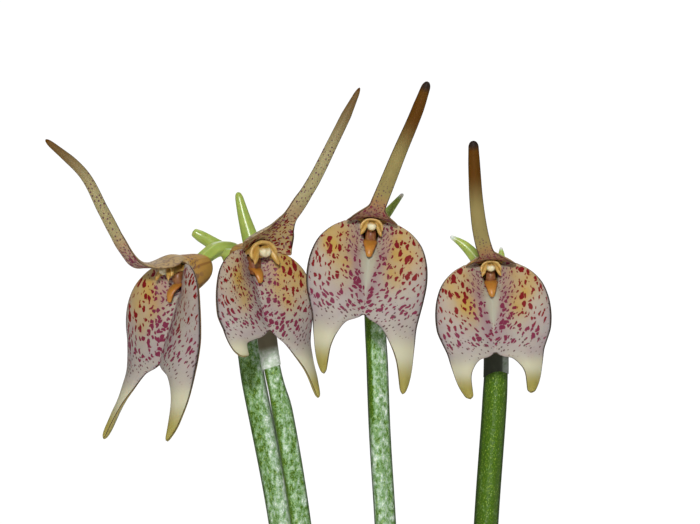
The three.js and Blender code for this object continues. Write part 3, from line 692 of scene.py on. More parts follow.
def spotted_material(settings):
    """Living sepal tissue: waxy, pale, with soft yellow patches and sharp crimson and mauve spots, and
    painted shade along its edges.
    """
    material, tree, place = new_material("Waxy spotted sepal", 0.5, Specular_IOR_Level=0.12,
                                         Subsurface_Weight=0.08, Subsurface_Scale=0.6 * MM)
    yellow, mauve, tail, tip = stored(tree, "tones")
    large, medium, fine, magenta = stored(tree, "marks")
    hood, edge, dashes, clear = (add(tree, "Attribute", out="Fac", attribute_name=name)
                                 for name in SHARES["float"])
    veins, rings = (add(tree, "UVMap", uv_map=name) for name in PATTERN_MAPS)

    # Soft mottling over two millimetres across, and two sizes of waver that make the spots ragged
    cloud = add(tree, "TexNoise", {"Vector": place, "Scale": 0.42 / MM, "Detail": 3})
    warped = veins
    for scale, reach in ((1.2, 0.6), (5, 0.11)):
        ragged = add(tree, "TexNoise", {"Vector": veins, "Scale": scale, "Detail": 1}, out="Color",
                     noise_dimensions="2D")
        warp = add(tree, "VectorMath", {0: ragged, 1: (0.5, 0.5, 0.5)}, operation="SUBTRACT")
        warped = add(tree, "VectorMath", {0: warp, 1: (reach, reach, 0), 2: warped},
                     operation="MULTIPLY_ADD")

    patchy = add(tree, "MapRange", {"Value": cloud, "From Min": 0.35, "From Max": 0.65, "To Min": 0.7,
                                    "To Max": 1.15})
    yellow = add(tree, "Math", {0: yellow, 1: patchy}, operation="MULTIPLY", use_clamp=True)
    # The edge layer greys the ground towards the edges, partly the tissue's own grey and partly painted
    # shade; margin at the very tip is the upper tail's real near-black end
    colour = layered(tree, settings.white, (
        (cloud, 0.35, 0.7, 1, settings.blush), (edge, 0.6, 1, 0.6, settings.edge),
        (clear, settings.vee), (hood, settings.hood), (yellow, settings.yellow), (mauve, settings.mauve),
        (tip, 0, 0.08, 1, settings.neck), (tail, 0, 0.45, 1, settings.cream),
        (tail, 0.5, 1, 1, settings.tail), (tip, 0.35, 0.85, 1, settings.brown),
        (tip, 0.98, 1, 1, settings.margin)), "SMOOTHSTEP")
    spot_colour = layered(tree, settings.crimson, [(magenta, settings.magenta)])
    # Cells of each layer in millimetres across and along the veins, the widest spot in a cell, how soft
    # its edge is and how many cells stay empty
    for base, share, cell, widest, soft, empty, shade in (
            (warped, large, (0.8, 1.4), 0.43, 0.08, 0.1, spot_colour),
            (warped, medium, (0.5, 0.9), 0.43, 0.12, 0.1, spot_colour),
            (veins, fine, (0.42, 0.55), 0.26, 0.12, 0.3, settings.speck),
            (rings, dashes, (0.3, 0.7), 0.42, 0.16, 0.1, settings.dash)):
        scaled = add(tree, "VectorMath", {0: base, 1: (1 / cell[0], 1 / cell[1], 1)}, operation="MULTIPLY")
        cells = add(tree, "TexVoronoi", {"Vector": scaled, "Scale": 1, "Randomness": 0.8}, out=None,
                    voronoi_dimensions="2D")
        luck = add(tree, "SeparateColor", {"Color": cells["Color"]})
        size = add(tree, "MapRange", {"Value": luck, "From Min": empty, "From Max": 1,
                                      "To Min": 0.45 * widest, "To Max": widest})
        size = add(tree, "Math", {0: size, 1: share}, operation="MULTIPLY")
        gap = add(tree, "Math", {0: size, 1: cells["Distance"]}, operation="SUBTRACT")
        mask = add(tree, "Math", {0: luck, 1: empty}, operation="GREATER_THAN")
        for value, low, high in ((gap, -soft / 2, soft / 2), (share, 0.05, 0.3)):
            part = add(tree, "MapRange", {"Value": value, "From Min": low, "From Max": high},
                       interpolation_type="SMOOTHSTEP")
            mask = add(tree, "Math", {0: mask, 1: part}, operation="MULTIPLY")
        colour = layered(tree, colour, [(mask, shade)])
    # A dark outline along the edges: painted shade
    colour = layered(tree, colour, [(edge, 0.89, 0.97, 1, settings.margin)], "SMOOTHSTEP")
    grain = add(tree, "TexNoise", {"Vector": place, "Scale": 5.2 / MM, "Detail": 2})
    return coloured(material, colour, grain, strength=0.25, depth=0.08)


def sepal_back_material(settings):
    """The sepals' outside: tan tissue with darker veins that run along it and purple-brown blotches."""
    material, tree, place = new_material("Veined sepal outside", 0.5, Specular_IOR_Level=0.3)
    _, _, tail, tip = stored(tree, "tones")
    _, _, fine, _ = stored(tree, "marks")
    hood, dashes = (add(tree, "Attribute", out="Fac", attribute_name=name) for name in ("hood", "dashes"))
    veins = add(tree, "UVMap", uv_map="veins")
    cloud = add(tree, "TexNoise", {"Vector": place, "Scale": 0.5 / MM, "Detail": 3})
    mottled = layered(tree, settings.back, [(cloud, settings.back_deep)])
    lines = add(tree, "TexWave", {"Vector": veins, "Scale": 0.22, "Distortion": 1.6, "Detail": 1,
                                  "Detail Scale": 0.6}, out="Fac", bands_direction="X")
    # Blotches about 0.4 mm across where the inside has dashes, and specks of 0.2 mm under its fine spots
    flecks = add(tree, "TexNoise", {"Vector": veins, "Scale": 2.4, "Detail": 2}, noise_dimensions="2D")
    cells = add(tree, "TexVoronoi", {"Vector": veins, "Scale": 1.9}, voronoi_dimensions="2D")
    blotch = add(tree, "MapRange", {"Value": flecks, "From Min": 0.5, "From Max": 0.6, "To Max": 0.9},
                 interpolation_type="SMOOTHSTEP")
    speck = add(tree, "MapRange", {"Value": cells, "From Min": 0.17, "From Max": 0.1, "To Max": 0.7})
    blotch, speck = (add(tree, "Math", {0: mark, 1: share}, operation="MULTIPLY")
                     for mark, share in ((blotch, dashes), (speck, fine)))
    colour = layered(tree, settings.back_pale, [(hood, mottled), (lines, 0.8, 1, 0.6, settings.back_vein)],
                     "SMOOTHSTEP")
    colour = layered(tree, colour, (
        (tip, 0, 0.08, 1, settings.neck), (tail, 0, 0.45, 1, settings.cream),
        (tail, 0.5, 1, 1, settings.tail), (speck, settings.speck), (blotch, settings.speck),
        (tip, 0.5, 1, 1, settings.brown)))
    return coloured(material, colour, lines, strength=0.3, depth=0.1)


def shaded_margin_material(settings):
    """The sepals' thin cut edge, darker than the blade: painted shade."""
    material, tree, place = new_material("Dark sepal margin", 0.55)
    _, _, tail, _ = stored(tree, "tones")
    cloud = add(tree, "TexNoise", {"Vector": place, "Scale": 0.9 / MM, "Detail": 2})
    return coloured(material, layered(tree, settings.margin, (
        (cloud, settings.hood), (tail, 0, 1, 0.8, settings.tail))))


class SepalSettings(bpy.types.PropertyGroup):
    """Sizes and colours of the sepals."""

    thickness: FloatProperty(name="Thickness", description="Thickness in the middle of a sepal",
                             default=0.0007, min=0.0003, max=0.002, precision=4, unit="LENGTH")
    tail_thickness: FloatProperty(name="Tail thickness", description="Thickness of the lower tails",
                                  default=0.0009, min=0.0005, max=0.002, precision=4, unit="LENGTH")
    white: colour_property("White", "Ground colour of the lower sepals", "#a49c92")
    blush: colour_property("Blush", "Soft mottling on the white ground", "#a09390")
    vee: colour_property("Clear V", "Greenish white between the lip and the seam's end", "#b0ae9c")
    # Edge greys the ground near the edges: partly the tissue's own grey, partly painted shade
    edge: colour_property("Edge", "Greyer ground near the sepals' edges", "#8d8085")
    yellow: colour_property("Yellow", "Patches beside the mouth", "#b0904a")
    mauve: colour_property("Mauve", "Wash beside the lip", "#94707a")
    dash: colour_property("Dashes", "Short mauve lines round the mouth", "#783f50")
    speck: colour_property("Specks", "Smallest specks, at the edges and the tails", "#5f4244")
    cream: colour_property("Cream", "Start of the lower tails", "#bab69a")
    tail: colour_property("Tail", "Tips of the lower tails", "#958a48")
    hood: colour_property("Hood", "Ground colour of the upper sepal", "#987548")
    neck: colour_property("Neck", "Start of the upper tail", "#8c7e4e")
    brown: colour_property("Brown", "End of the upper tail", "#563404")
    crimson: colour_property("Crimson", "Spots on the yellow", "#741113")
    magenta: colour_property("Magenta", "Spots near the seam and the tails", "#762b43")
    # Margin paints the dark outline and cut edges of the sepals as painted shade, and is also the real
    # near-black end of the upper tail
    margin: colour_property("Margin", "Edge of the sepals", "#281e18")
    back: colour_property("Outside", "Outside of the cup and the upper sepal", "#c09448")
    back_deep: colour_property("Outside shade", "Darker mottling of the outside", "#9a7236")
    back_pale: colour_property("Lower outside", "Outside of the lower sepals", "#b2ab90")
    back_vein: colour_property("Outside veins", "Veins on the outside", "#7c4c24")


class ORCHID_OT_sepals(bpy.types.Operator):
    """Make each flower's cup and spotted sepals"""

    bl_idname = "orchid.sepals"
    bl_label = "Sepals"

    def execute(self, context):
        settings = context.scene.orchid_sepals
        materials = [spotted_material(settings), sepal_back_material(settings), shaded_margin_material(settings)]
        for number, flower in enumerate(FLOWERS, 1):
            perianth(number, flower, settings, materials)
        return {"FINISHED"}


# Column, petals and lip


def thick_sheet(bm, form, rows, columns, half_thickness, values):
    """A closed body about a middle surface, from a front and a back grid joined round their edges."""
    step = 0.01
    for facing in (1, -1):
        def place(across, along, facing=facing):
            over = form(min(1, across + step), along) - form(max(-1, across - step), along)
            ahead = form(across, min(1, along + step)) - form(across, max(0, along - step))
            edge = (1 - across ** 2) ** 0.5 * min(1, 14 * along, 14 * (1 - along)) ** 0.5
            offset = over.cross(ahead).normalized() * half_thickness * edge
            return form(across, along) + facing * offset
        spots = shaped_grid(bm, rows, columns, place)
        store(bm, spots, values)


def petal_form(sign):
    """place(across, along) over the middle of a small petal, on the side of sign."""
    route = Route([(0.3, 2.9, 0.45), (0.5, 1.6, 0.6), (0.55, -0.1, 0.85), (0.72, -1.2, 0.6),
                   (1, -1.8, -0.3)])
    widths = [(0, 0.2), (0.25, 0.5), (0.5, 0.6), (0.8, 0.62), (1, 0.25)]

    def place(across, along):
        at = route.point(along)
        width = between(widths, along)
        at.z += 0.8 * across * width
        at.x = sign * (at.x - 0.6 * across * width)
        return at
    return place


def lip_form(across, along):
    """A point of the lip's middle surface, from its root in the cup to its hanging tip."""
    route = Route([(0, 2.7, -0.72), (0, 1.3, -0.95), (0, -0.1, -1.25), (0, -0.95, -1.95),
                   (0, -1.2, -3.1)])
    width = between([(0, 0.5), (0.3, 0.85), (0.55, 0.95), (0.8, 0.62), (0.93, 0.36), (1, 0.14)], along)
    at = route.along(along)
    at.x = across * width
    at.y += 0.22 * across ** 2 * along
    return at


def arch_form(across, along):
    """The column's golden wings, joined over its cap."""
    angle = mix(-2.2, 2.2, along)
    reach = 0.86 + 0.16 * across + 0.2 * abs(2 * along - 1)
    return Vector((1.05 * reach * math.sin(angle), -1.05 - 0.3 * across,
                   0.55 + 0.9 * reach * math.cos(angle)))


class ColumnSettings(bpy.types.PropertyGroup):
    """Colours of the column, its cap, the two petals and the lip."""

    cap: colour_property("Cap", "Anther cap at the end of the column", "#d6cda8")
    body: colour_property("Column", "Column behind the cap", "#b08f52")
    body_edge: colour_property("Column edge", "Red-brown flush along the column", "#7a4526")
    petal: colour_property("Petal", "The two small petals beside the column", "#b0873c")
    petal_pale: colour_property("Petal edge", "Paler, thin edges of the petals", "#c6a662")
    lip: colour_property("Lip", "Middle of the lip", "#b2782e")
    lip_edge: colour_property("Lip edge", "Edges and base of the lip", "#8f4f1c")


def waxy_material(name, roughness, low, high, grain):
    """Small waxy tissue: two colours blended by a stored share, with soft mottling.

    grain is how many cells of the mottling go to a millimetre.
    """
    material, tree, place = new_material(name, roughness, Subsurface_Weight=0.1, Subsurface_Scale=0.5 * MM)
    cloud = add(tree, "TexNoise", {"Vector": place, "Scale": grain / MM, "Detail": 2})
    mottled = add(tree, "MapRange", {"Value": cloud, "From Min": 0.3, "From Max": 0.7, "To Min": -0.25,
                                     "To Max": 0.25})
    share, *_ = stored(tree, "run")
    blend = add(tree, "Math", {0: share, 1: mottled}, operation="ADD", use_clamp=True)
    return coloured(material, layered(tree, low, [(blend, high)]), cloud, strength=0.3, depth=0.06)


def column_body(bm):
    """The column itself and the red-brown foot under it."""
    body = Route([(0, 3.65, 0.4), (0, 2, 0.42), (0, 0.2, 0.5), (0, -1.2, 0.6)])
    spots = tube(bm, body, lambda t, angle: mix(0.5, 0.45, t), rows=12, sides=16)
    store(bm, spots, lambda vert, angle, along: (0.5 + 0.5 * math.sin(angle), 0))
    foot = Route([(0, 1.2, 0.3), (0, 0.3, 0), (0, 0.3, -0.5), (0, 0.7, -1)])
    spots = tube(bm, foot, lambda t, angle: mix(0.5, 0.65, t), rows=10, sides=16)
    store(bm, spots, lambda vert, angle, along: (0.9, 0))


def anther_cap(bm):
    """The pale grooved cap over the column's end."""
    cap = bmesh.ops.create_uvsphere(bm, u_segments=20, v_segments=14, radius=0.6)["verts"]
    for vert in cap:
        groove = 0.12 * math.exp(-(vert.co.x / 0.12) ** 2) * smooth(-vert.co.y, 0, 0.5)
        vert.co = Vector((vert.co.x * 0.9, vert.co.y * 0.9 + groove, vert.co.z * 0.8))
        vert.co += Vector((0, -1.4, 0.65))
    store(bm, {vert: (0, 0) for vert in cap}, lambda vert, across, along: (smooth(vert.co.z, 0.6, 1.05), 0))


class ORCHID_OT_columns(bpy.types.Operator):
    """Make each flower's column with its foot, cap, golden wings and two petals"""

    bl_idname = "orchid.columns"
    bl_label = "Columns"

    def execute(self, context):
        settings = context.scene.orchid_columns
        materials = [
            waxy_material("Waxy column", 0.4, settings.body, settings.body_edge, 2.5),
            waxy_material("Glossy anther cap", 0.22, settings.cap, settings.petal, 2.5),
            waxy_material("Waxy petal", 0.4, settings.petal, settings.petal_pale, 3),
        ]
        for number, flower in enumerate(FLOWERS, 1):
            bm = blank()
            column_body(bm)
            known = set(bm.faces)
            anther_cap(bm)
            known = mark_new(bm, known, 1)
            for sign in (1, -1):
                thick_sheet(bm, petal_form(sign), rows=18, columns=8, half_thickness=0.24,
                            values=lambda vert, across, along: (0.8 * across ** 2, 0))
            thick_sheet(bm, arch_form, rows=24, columns=8, half_thickness=0.17,
                        values=lambda vert, across, along: (0.3 + 0.5 * across, 0))
            mark_new(bm, known, 2)
            close_up(bm)
            place = flower_matrix(flower) @ Matrix.Scale(flower["column"], 4)
            subdivided(finished(bm, f"flower_{number}_column", "waxy", materials, place))
        return {"FINISHED"}


class ORCHID_OT_lips(bpy.types.Operator):
    """Make each flower's orange lip"""

    bl_idname = "orchid.lips"
    bl_label = "Lips"

    def execute(self, context):
        settings = context.scene.orchid_columns
        materials = [waxy_material("Waxy orange lip", 0.35, settings.lip, settings.lip_edge, 2.6)]
        for number, flower in enumerate(FLOWERS, 1):
            bm = blank()
            thick_sheet(bm, lip_form, rows=24, columns=10, half_thickness=0.24,
                        values=lambda vert, across, along: (
                            max(across ** 4, 1 - smooth(along, 0.3, 0.6)), 0))
            close_up(bm)
            subdivided(finished(bm, f"flower_{number}_lip", "waxy", materials, flower_matrix(flower)))
        return {"FINISHED"}


# Flower stalks


def painted_glitter_share(number, side, height):
    """How much painted glitter a stalk's skin gets, standing in for the light its crinkled cells reflect;
    the lower share on a stalk's left leaves the green of a face turned from the light, a painted shade. side
    is -1 at the viewer's left and 1 at the right.
    """
    if number == 1:
        return 0.4 + 0.35 * smooth(side, -0.3, 0.6) + 0.2 * (1 - smooth(height, 172, 182))
    if number == 2:
        return 0.42 * smooth(side, -0.7, -0.3) + 0.15
    if number == 3:
        return 0.1 + 0.58 * max(smooth(side, -0.5, -0.25), 1 - smooth(height, 182, 188))
    return 0.12


def stalk_body(bm, number, stalk):
    """A stalk with three blunt corners, which fade above its kink; returns its route."""
    route = Route([(x, y, z + STALK_FOOT) for x, y, z in stalk["route"]])
    corner, twist = math.radians(stalk["corner"]), math.radians(stalk["twist"])

    def radius(along, angle):
        size = mix(1.15, stalk["radius"], min(1, 0.25 + 0.9 * along))
        size *= 1 - 0.25 * smooth(along, 0.94, 1)
        size *= mix(1, stalk["narrow"], smooth(along, KINK_SHARE - 0.008, KINK_SHARE + 0.008))
        corners = 0.13 * (1 - 0.8 * smooth(along, 0.905, 0.925))
        return size * (1 + corners * math.cos(3 * (angle - corner - twist * (along - 0.85))))
    spots = tube(bm, route, radius, rows=120, sides=36)
    # The first share is how much painted glitter the skin gets; the second paints shade as a dark line down
    # the stalk's left and right sides as seen from the front, where they turn from the light
    store(bm, spots, lambda vert, angle, along: (
        painted_glitter_share(number, math.cos(angle), vert.co.z), smooth(abs(math.cos(angle)), 0.88, 0.99)))
    return route


def ovary_body(bm, top, flower):
    """The ribbed ovary, from just below a stalk's top to the back of its flower's cup."""
    place = flower_matrix(flower)
    start = top - Vector((0, 0, 0.8))
    back, end = (place @ Vector(point) for point in flower["ovary"])
    middle = start.lerp(back, flower["ovary_bend"])
    middle.z = (start.z + back.z) / 2 + 0.8
    route = Route([start, middle, back, end])
    spots = tube(bm, route, lambda along, angle: (0.95 - 0.12 * (2 * along - 1) ** 2)
                 * (1 + 0.07 * math.cos(6 * angle)), rows=28, sides=36, start=Vector((0.6, 0, 0.8)))
    store(bm, spots, lambda vert, angle, along: (0.06, 0))


def sheath_body(bm, route, low, tilt, top, wide, dark):
    """A thin papery sleeve round the top of a stalk, from height low up to top. dark paints it as the
    near-black shadow of its flower, half as dark on its right side, and draws its lower edge down at its
    sides.
    """
    def place(across, along):
        angle = math.pi * across
        height = mix(low + tilt * math.cos(angle) - 0.6 * dark * math.cos(angle) ** 2, top, along)
        share = min(1, (height - STALK_FOOT) / (route.point(1).z - STALK_FOOT))
        at = route.along(share)
        ripple = 0.05 * noise.noise(Vector((3 * math.cos(angle), 3 * math.sin(angle), height * 0.4)))
        size = wide * (1 - 0.2 * smooth(height, top - 3, top)) + ripple
        return Vector((at.x + size * math.cos(angle), at.y + size * math.sin(angle), height))
    spots = shaped_grid(bm, rows=14, columns=32, place=place)
    # The first share is painted shadow; the second lets the flower's painted shadow cover the sleeve above
    # its lowest part
    store(bm, spots, lambda vert, across, along: (
        dark * (1 - 0.5 * smooth(math.cos(math.pi * across), 0.35, 0.6)), along))


class StalkSettings(bpy.types.PropertyGroup):
    """Colours of the stalks, ovaries, bracts and papery sheaths."""

    green: colour_property("Green", "Skin of the stalks", "#446608")
    deep: colour_property("Deep green", "Darker streaks on the stalks", "#355808")
    # Silver, glint and flecks paint the light that the crinkled skin reflects, and dull silver is the faint
    # step before it; dull silver also mottles the papery sheaths
    silver: colour_property("Silver", "Glittering bloom on the stalks", "#a9c2a6")
    glint: colour_property("Glint", "Brightest cells of the bloom", "#eef6ee")
    fleck: colour_property("Flecks", "Bright yellow-green cells", "#a8c24a")
    dull: colour_property("Dull silver", "Skin under the bloom", "#769c62")
    # Edge paints shade: a dark line down the stalk's left and right sides as seen from the front
    edge: colour_property("Edge", "Dark line along the stalk's corners", "#22350c")
    ovary: colour_property("Ovary", "Ovaries, bracts and the bud", "#a9b95c")
    ovary_dark: colour_property("Ovary shade", "Darker green of the bracts", "#80993a")
    paper: colour_property("Paper", "Dry papery sheath", "#dfe3de")
    # Paper shade and dark paper are painted shadows that the flowers cast on the sheaths
    sheath_shadow: colour_property("Paper shade", "Browner upper part of the sheath", "#6b634d")
    deep_sheath_shadow: colour_property("Dark paper", "Sheath of the stalk at the right", "#2b2f1d")


def stalk_material(settings):
    """Living stalk skin: green, with the glitter of its crinkled cells painted on in silver and white as a
    reflection of the light, in streaks along the stalk, and a dark line of painted shade down its sides.
    """
    material, tree, place = new_material("Glittering green stalk skin", 0.4, Specular_IOR_Level=0.3)
    level, edge, *_ = stored(tree, "run")
    strong = add(tree, "MapRange", {"Value": level, "From Max": 0.5, "To Min": 0.3})
    # Crinkles about 0.5 mm across, glints of 0.17 mm, and streaks 1 mm wide and 14 mm long
    grains = []
    for scale, stretch, strength in ((1.9, 0.7, 2.4), (6, 0.8, 1.3), (0.9, 0.08, 0.8)):
        stretched = add(tree, "Mapping", {"Vector": place, "Scale": (1, 1, stretch)})
        grain = add(tree, "TexNoise", {"Vector": stretched, "Scale": scale / MM, "Detail": 3,
                                       "Roughness": 0.65})
        grains.append(grain)
        centred = add(tree, "MapRange", {"Value": grain, "To Min": -strength / 2, "To Max": strength / 2},
                      clamp=False)
        level = add(tree, "Math", {0: centred, 1: strong, 2: level}, operation="MULTIPLY_ADD")
    crinkle, glint, _ = grains
    # From deep green to white glints, this ramp and the bright green flecks after it paint the light that
    # the crinkled cells reflect
    colour = layered(tree, settings.deep, (
        (level, -0.3, 0.05, 1, settings.green), (level, 0.2, 0.5, 1, settings.dull),
        (level, 0.55, 0.85, 1, settings.silver), (level, 0.9, 1.2, 1, settings.glint)), "SMOOTHSTEP")
    # The edge layer is that dark line of painted shade down the stalk's sides
    colour = layered(tree, colour, (
        (glint, 0.57, 0.66, 0.65, settings.fleck), (edge, 0, 1, 0.75, settings.edge)))
    return coloured(material, colour, crinkle, strength=0.8, depth=0.25)


def bract_material(settings):
    """Smooth glossy bract and bud skin, light green and paler at its thin tip."""
    material, tree, place = new_material("Glossy light green bract", 0.28, Subsurface_Weight=0.15,
                                         Subsurface_Scale=0.6 * MM)
    dark, dry, *_ = stored(tree, "run")
    cloud = add(tree, "TexNoise", {"Vector": place, "Scale": 0.9 / MM, "Detail": 2})
    return coloured(material, layered(tree, settings.ovary, (
        (cloud, 0.35, 0.75, 0.5, settings.ovary_dark), (dark, settings.ovary_dark), (dry, settings.paper))))


def paper_material(settings):
    """Dry sheath tissue: thin, pale, finely wrinkled, with the shadow of the flower above painted on all but
    its lowest part, and a deeper painted shadow where dark says.
    """
    material, tree, place = new_material("Dry papery sheath", 0.6)
    dark, along, *_ = stored(tree, "run")
    cloud = add(tree, "TexNoise", {"Vector": place, "Scale": 2.6 / MM, "Detail": 4})
    colour = layered(tree, settings.paper, [(cloud, 0.35, 0.7, 0.7, settings.dull)])
    # Above the sheath's lowest part lies the painted shadow of the flower over it, and dark lays a deeper
    # painted shadow
    colour = layered(tree, colour, (
        (along, 0.13, 0.22, 1, settings.sheath_shadow), (dark, settings.deep_sheath_shadow)), "SMOOTHSTEP")
    return coloured(material, colour, cloud, strength=0.5, depth=0.1)


# The papery sheaths, by stalk: the heights of their ends, how far the lower one tilts, how wide they are,
# and how much painted shadow they carry. The right stalk's sheath is mostly a sleeve of painted shadow from
# its flower, with the real grey sheath showing at its right
SHEATHS = {2: {"low": 192, "tilt": 0.35, "top": 204.2, "wide": 1.24, "dark": 0},
           4: {"low": 191.5, "tilt": 0.2, "top": 202.6, "wide": 1.56, "dark": 1}}


class ORCHID_OT_stalks(bpy.types.Operator):
    """Make each flower stalk with its ovary and bract, and papery sheaths on two of them"""

    bl_idname = "orchid.stalks"
    bl_label = "Flower stalks"

    def execute(self, context):
        settings = context.scene.orchid_stalks
        materials = [stalk_material(settings), bract_material(settings), paper_material(settings)]
        for number, (stalk, bract) in enumerate(zip(STALKS, BRACTS), 1):
            bm = blank()
            route = stalk_body(bm, number, stalk)
            known = set(bm.faces)
            ovary_body(bm, route.point(1), FLOWERS[number - 1])
            for leaflet in [bract] + [SMALL_BRACT] * (number == len(STALKS)):
                spots = tube(bm, Route(leaflet["route"]),
                             lambda t, angle, radii=leaflet["radii"]: between(radii, t),
                             rows=30, sides=20, flat=0.8)
                store(bm, spots, lambda vert, angle, along, leaflet=leaflet: (
                    leaflet["shade"], leaflet["dry"] * smooth(along, 0.86, 0.97)))
            known = mark_new(bm, known, 1)
            if number in SHEATHS:
                sheath_body(bm, route, **SHEATHS[number])
            mark_new(bm, known, 2)
            close_up(bm)
            subdivided(finished(bm, f"flower_stalk_{number}", "skin", materials))
        return {"FINISHED"}


# Leaves

# Each ring's leaves: their bearings from +X in degrees, and between what their sizes are drawn
INNER_LEAVES = {"bearings": [58, 122, 238, 302], "foot": 9.5, "reach": (17, 18.5), "height": (96, 104),
                "width": (7, 8), "curl": (1, 2)}
OUTER_LEAVES = {"bearings": [4, 48, 96, 140, 182, 228, 266, 316], "foot": 20, "reach": (36, 41),
                "height": (76, 94), "width": (7.4, 8.8), "curl": (3, 6)}
# Half widths of a leaf's stalk below the blade and in the mix, the blade's thickness, the power that
# rounds its outline, and the top of the mix
LEAF_STALK = 1.5
LEAF_STEM = 1.15
LEAF_THICKNESS = 1.5
BLADE_POWER = 0.805
SOIL_TOP = 62
# A height that every blade passes
BLADE_LEVEL = 130
LEAF_SEED = 5


def draws(seed):
    """A repeatable random draw between 0 and 1, the same as the solids were placed by."""
    state = seed
    while True:
        state = (state * 1664525 + 1013904223) % 2 ** 32
        yield state / 2 ** 32


def leaf_specs():
    """Each leaf's bearing and drawn sizes, the inner ring first."""
    luck = draws(LEAF_SEED)
    for ring in (INNER_LEAVES, OUTER_LEAVES):
        for bearing in ring["bearings"]:
            drawn = {size: mix(*ring[size], next(luck)) for size in ("reach", "height", "width", "curl")}
            yield {"bearing": bearing, "foot": ring["foot"], **drawn}


def leaf_form(leaf):
    """place(across, along) over the middle of a leaf, from its foot in the mix to its tip."""
    angle = math.radians(leaf["bearing"])
    out = Vector((math.cos(angle), math.sin(angle), 0))
    side = Vector((-math.sin(angle), math.cos(angle), 0))
    foot, reach, height = leaf["foot"], leaf["reach"], leaf["height"]
    route = Route([out * r + UP * z for r, z in (
        (foot, STALK_FOOT), (foot, SOIL_TOP + 7), (foot + 0.2 * (reach - foot), SOIL_TOP + 0.34 * height),
        (foot + 0.6 * (reach - foot), SOIL_TOP + 0.68 * height), (reach, SOIL_TOP + 0.92 * height),
        (reach + leaf["curl"], SOIL_TOP + height))])

    def half_width(along):
        if along < 0.16:
            return LEAF_STEM
        if along < 0.4:
            return mix(LEAF_STEM, LEAF_STALK, (along - 0.16) / 0.24)
        part = (along - 0.4) / 0.6
        blade = math.sin(math.pi * min(0.97, part))
        return LEAF_STALK * (1 - part) + leaf["width"] * blade ** BLADE_POWER

    def place(across, along):
        face = side.cross(route.tangent(along))
        depth = 1.3 * smooth(along, 0.3, 0.6) * (across ** 2 - 0.35)
        groove = 0.25 * smooth(along, 0.42, 0.55) * math.exp(-(across / 0.09) ** 2)
        wave = noise.noise(Vector((across * 1.3, along * 5, leaf["bearing"])))
        sway = 0.35 * smooth(along, 0.4, 0.6) * wave
        return route.along(along) + side * across * half_width(along) + face * (groove + sway - depth)
    return place


class LeafSettings(bpy.types.PropertyGroup):
    """Colours of the leaves."""

    upper: colour_property("Upper face", "Upper face of the blades", "#2f5418")
    light: colour_property("Mottling", "Lighter mottling on the upper face", "#4a7226")
    under: colour_property("Under face", "Paler back of the blades", "#5d8038")
    rib: colour_property("Midrib", "Line down the middle of the blade", "#6f9144")
    tip: colour_property("Tip", "Dry point of the blade", "#897c55")


def leaf_material(name, ground, mottling, rib, tip, roughness):
    """Leathery leaf skin: satin, mottled, with fine lengthwise veins and a paler midrib."""
    material, tree, place = new_material(name, roughness, Specular_IOR_Level=0.5)
    middle, end, *_ = stored(tree, "run")
    # Veins 1 mm wide and 9 mm long over mottling of 8 mm
    long_place = add(tree, "Mapping", {"Vector": place, "Scale": (1, 1, 0.12)})
    streak = add(tree, "TexNoise", {"Vector": long_place, "Scale": 0.9 / MM, "Detail": 3})
    cloud = add(tree, "TexNoise", {"Vector": place, "Scale": 0.12 / MM, "Detail": 4})
    both = add(tree, "Math", {0: streak, 1: cloud}, operation="MULTIPLY")
    colour = layered(tree, ground, ((both, 0.12, 0.4, 1, mottling), (middle, rib), (end, tip)))
    return coloured(material, colour, streak, strength=0.25, depth=0.2)


class ORCHID_OT_leaves(bpy.types.Operator):
    """Make the twelve upright leathery leaves"""

    bl_idname = "orchid.leaves"
    bl_label = "Leaves"

    def execute(self, context):
        settings = context.scene.orchid_leaves
        materials = [
            leaf_material("Leathery leaf face", settings.upper, settings.light, settings.rib,
                          settings.tip, 0.38),
            leaf_material("Leathery leaf back", settings.under, settings.light, settings.light,
                          settings.tip, 0.5),
        ]
        for number, leaf in enumerate(leaf_specs(), 1):
            bm = blank()
            bm.verts.layers.deform.verify()
            weight = bm.verts.layers.deform[0]
            spots = shaped_grid(bm, rows=56, columns=14, place=leaf_form(leaf))
            store(bm, spots, lambda vert, across, along: (
                math.exp(-(across / 0.12) ** 2) * smooth(along, 0.38, 0.5), 0.7 * smooth(along, 0.985, 1)))
            for vert, (across, along) in spots.items():
                middle = mix(LEAF_STEM, LEAF_THICKNESS / 2, smooth(along, 0.2, 0.5))
                vert[weight][0] = middle / LEAF_STEM * (1 - 0.5 * across ** 2)
            bmesh.ops.recalc_face_normals(bm, faces=bm.faces)
            # The upper face looks to the middle of the pot
            probe = min(bm.faces, key=lambda face: abs(face.calc_center_median().z - BLADE_LEVEL))
            at = probe.calc_center_median()
            if probe.normal.dot(Vector((at.x, at.y, 0))) > 0:
                bmesh.ops.reverse_faces(bm, faces=bm.faces)
            piece = finished(bm, f"leaf_{number}", "blade", materials)
            thickened(piece, 2 * LEAF_STEM * MM, rim=1)
        return {"FINISHED"}


# Pot and potting mix

POT = {"height": 72, "rim_radius": 42, "rim_height": 16, "shoulder_radius": 38.4, "foot_radius": 29,
       "wall": 4.2, "floor": 5, "drain_holes": 3, "drain_radius": 4.5, "drain_circle": 15}
# Large chips stand as the solids' do, and small chips and grains are strewn over them
CHIPS = {"count": 34, "size": (9.5, 7, 3.8), "tilt": 0.35, "turn": 137.5}
SMALL_CHIPS = 240
GRITS = 90
CHIP_SEED = 11
STREW_SEED = 7


def inner_radius(height):
    """The half width of the pot's inside at a height."""
    slope = (POT["shoulder_radius"] - POT["foot_radius"]) / (POT["height"] - POT["rim_height"])
    return POT["foot_radius"] + slope * height - POT["wall"]


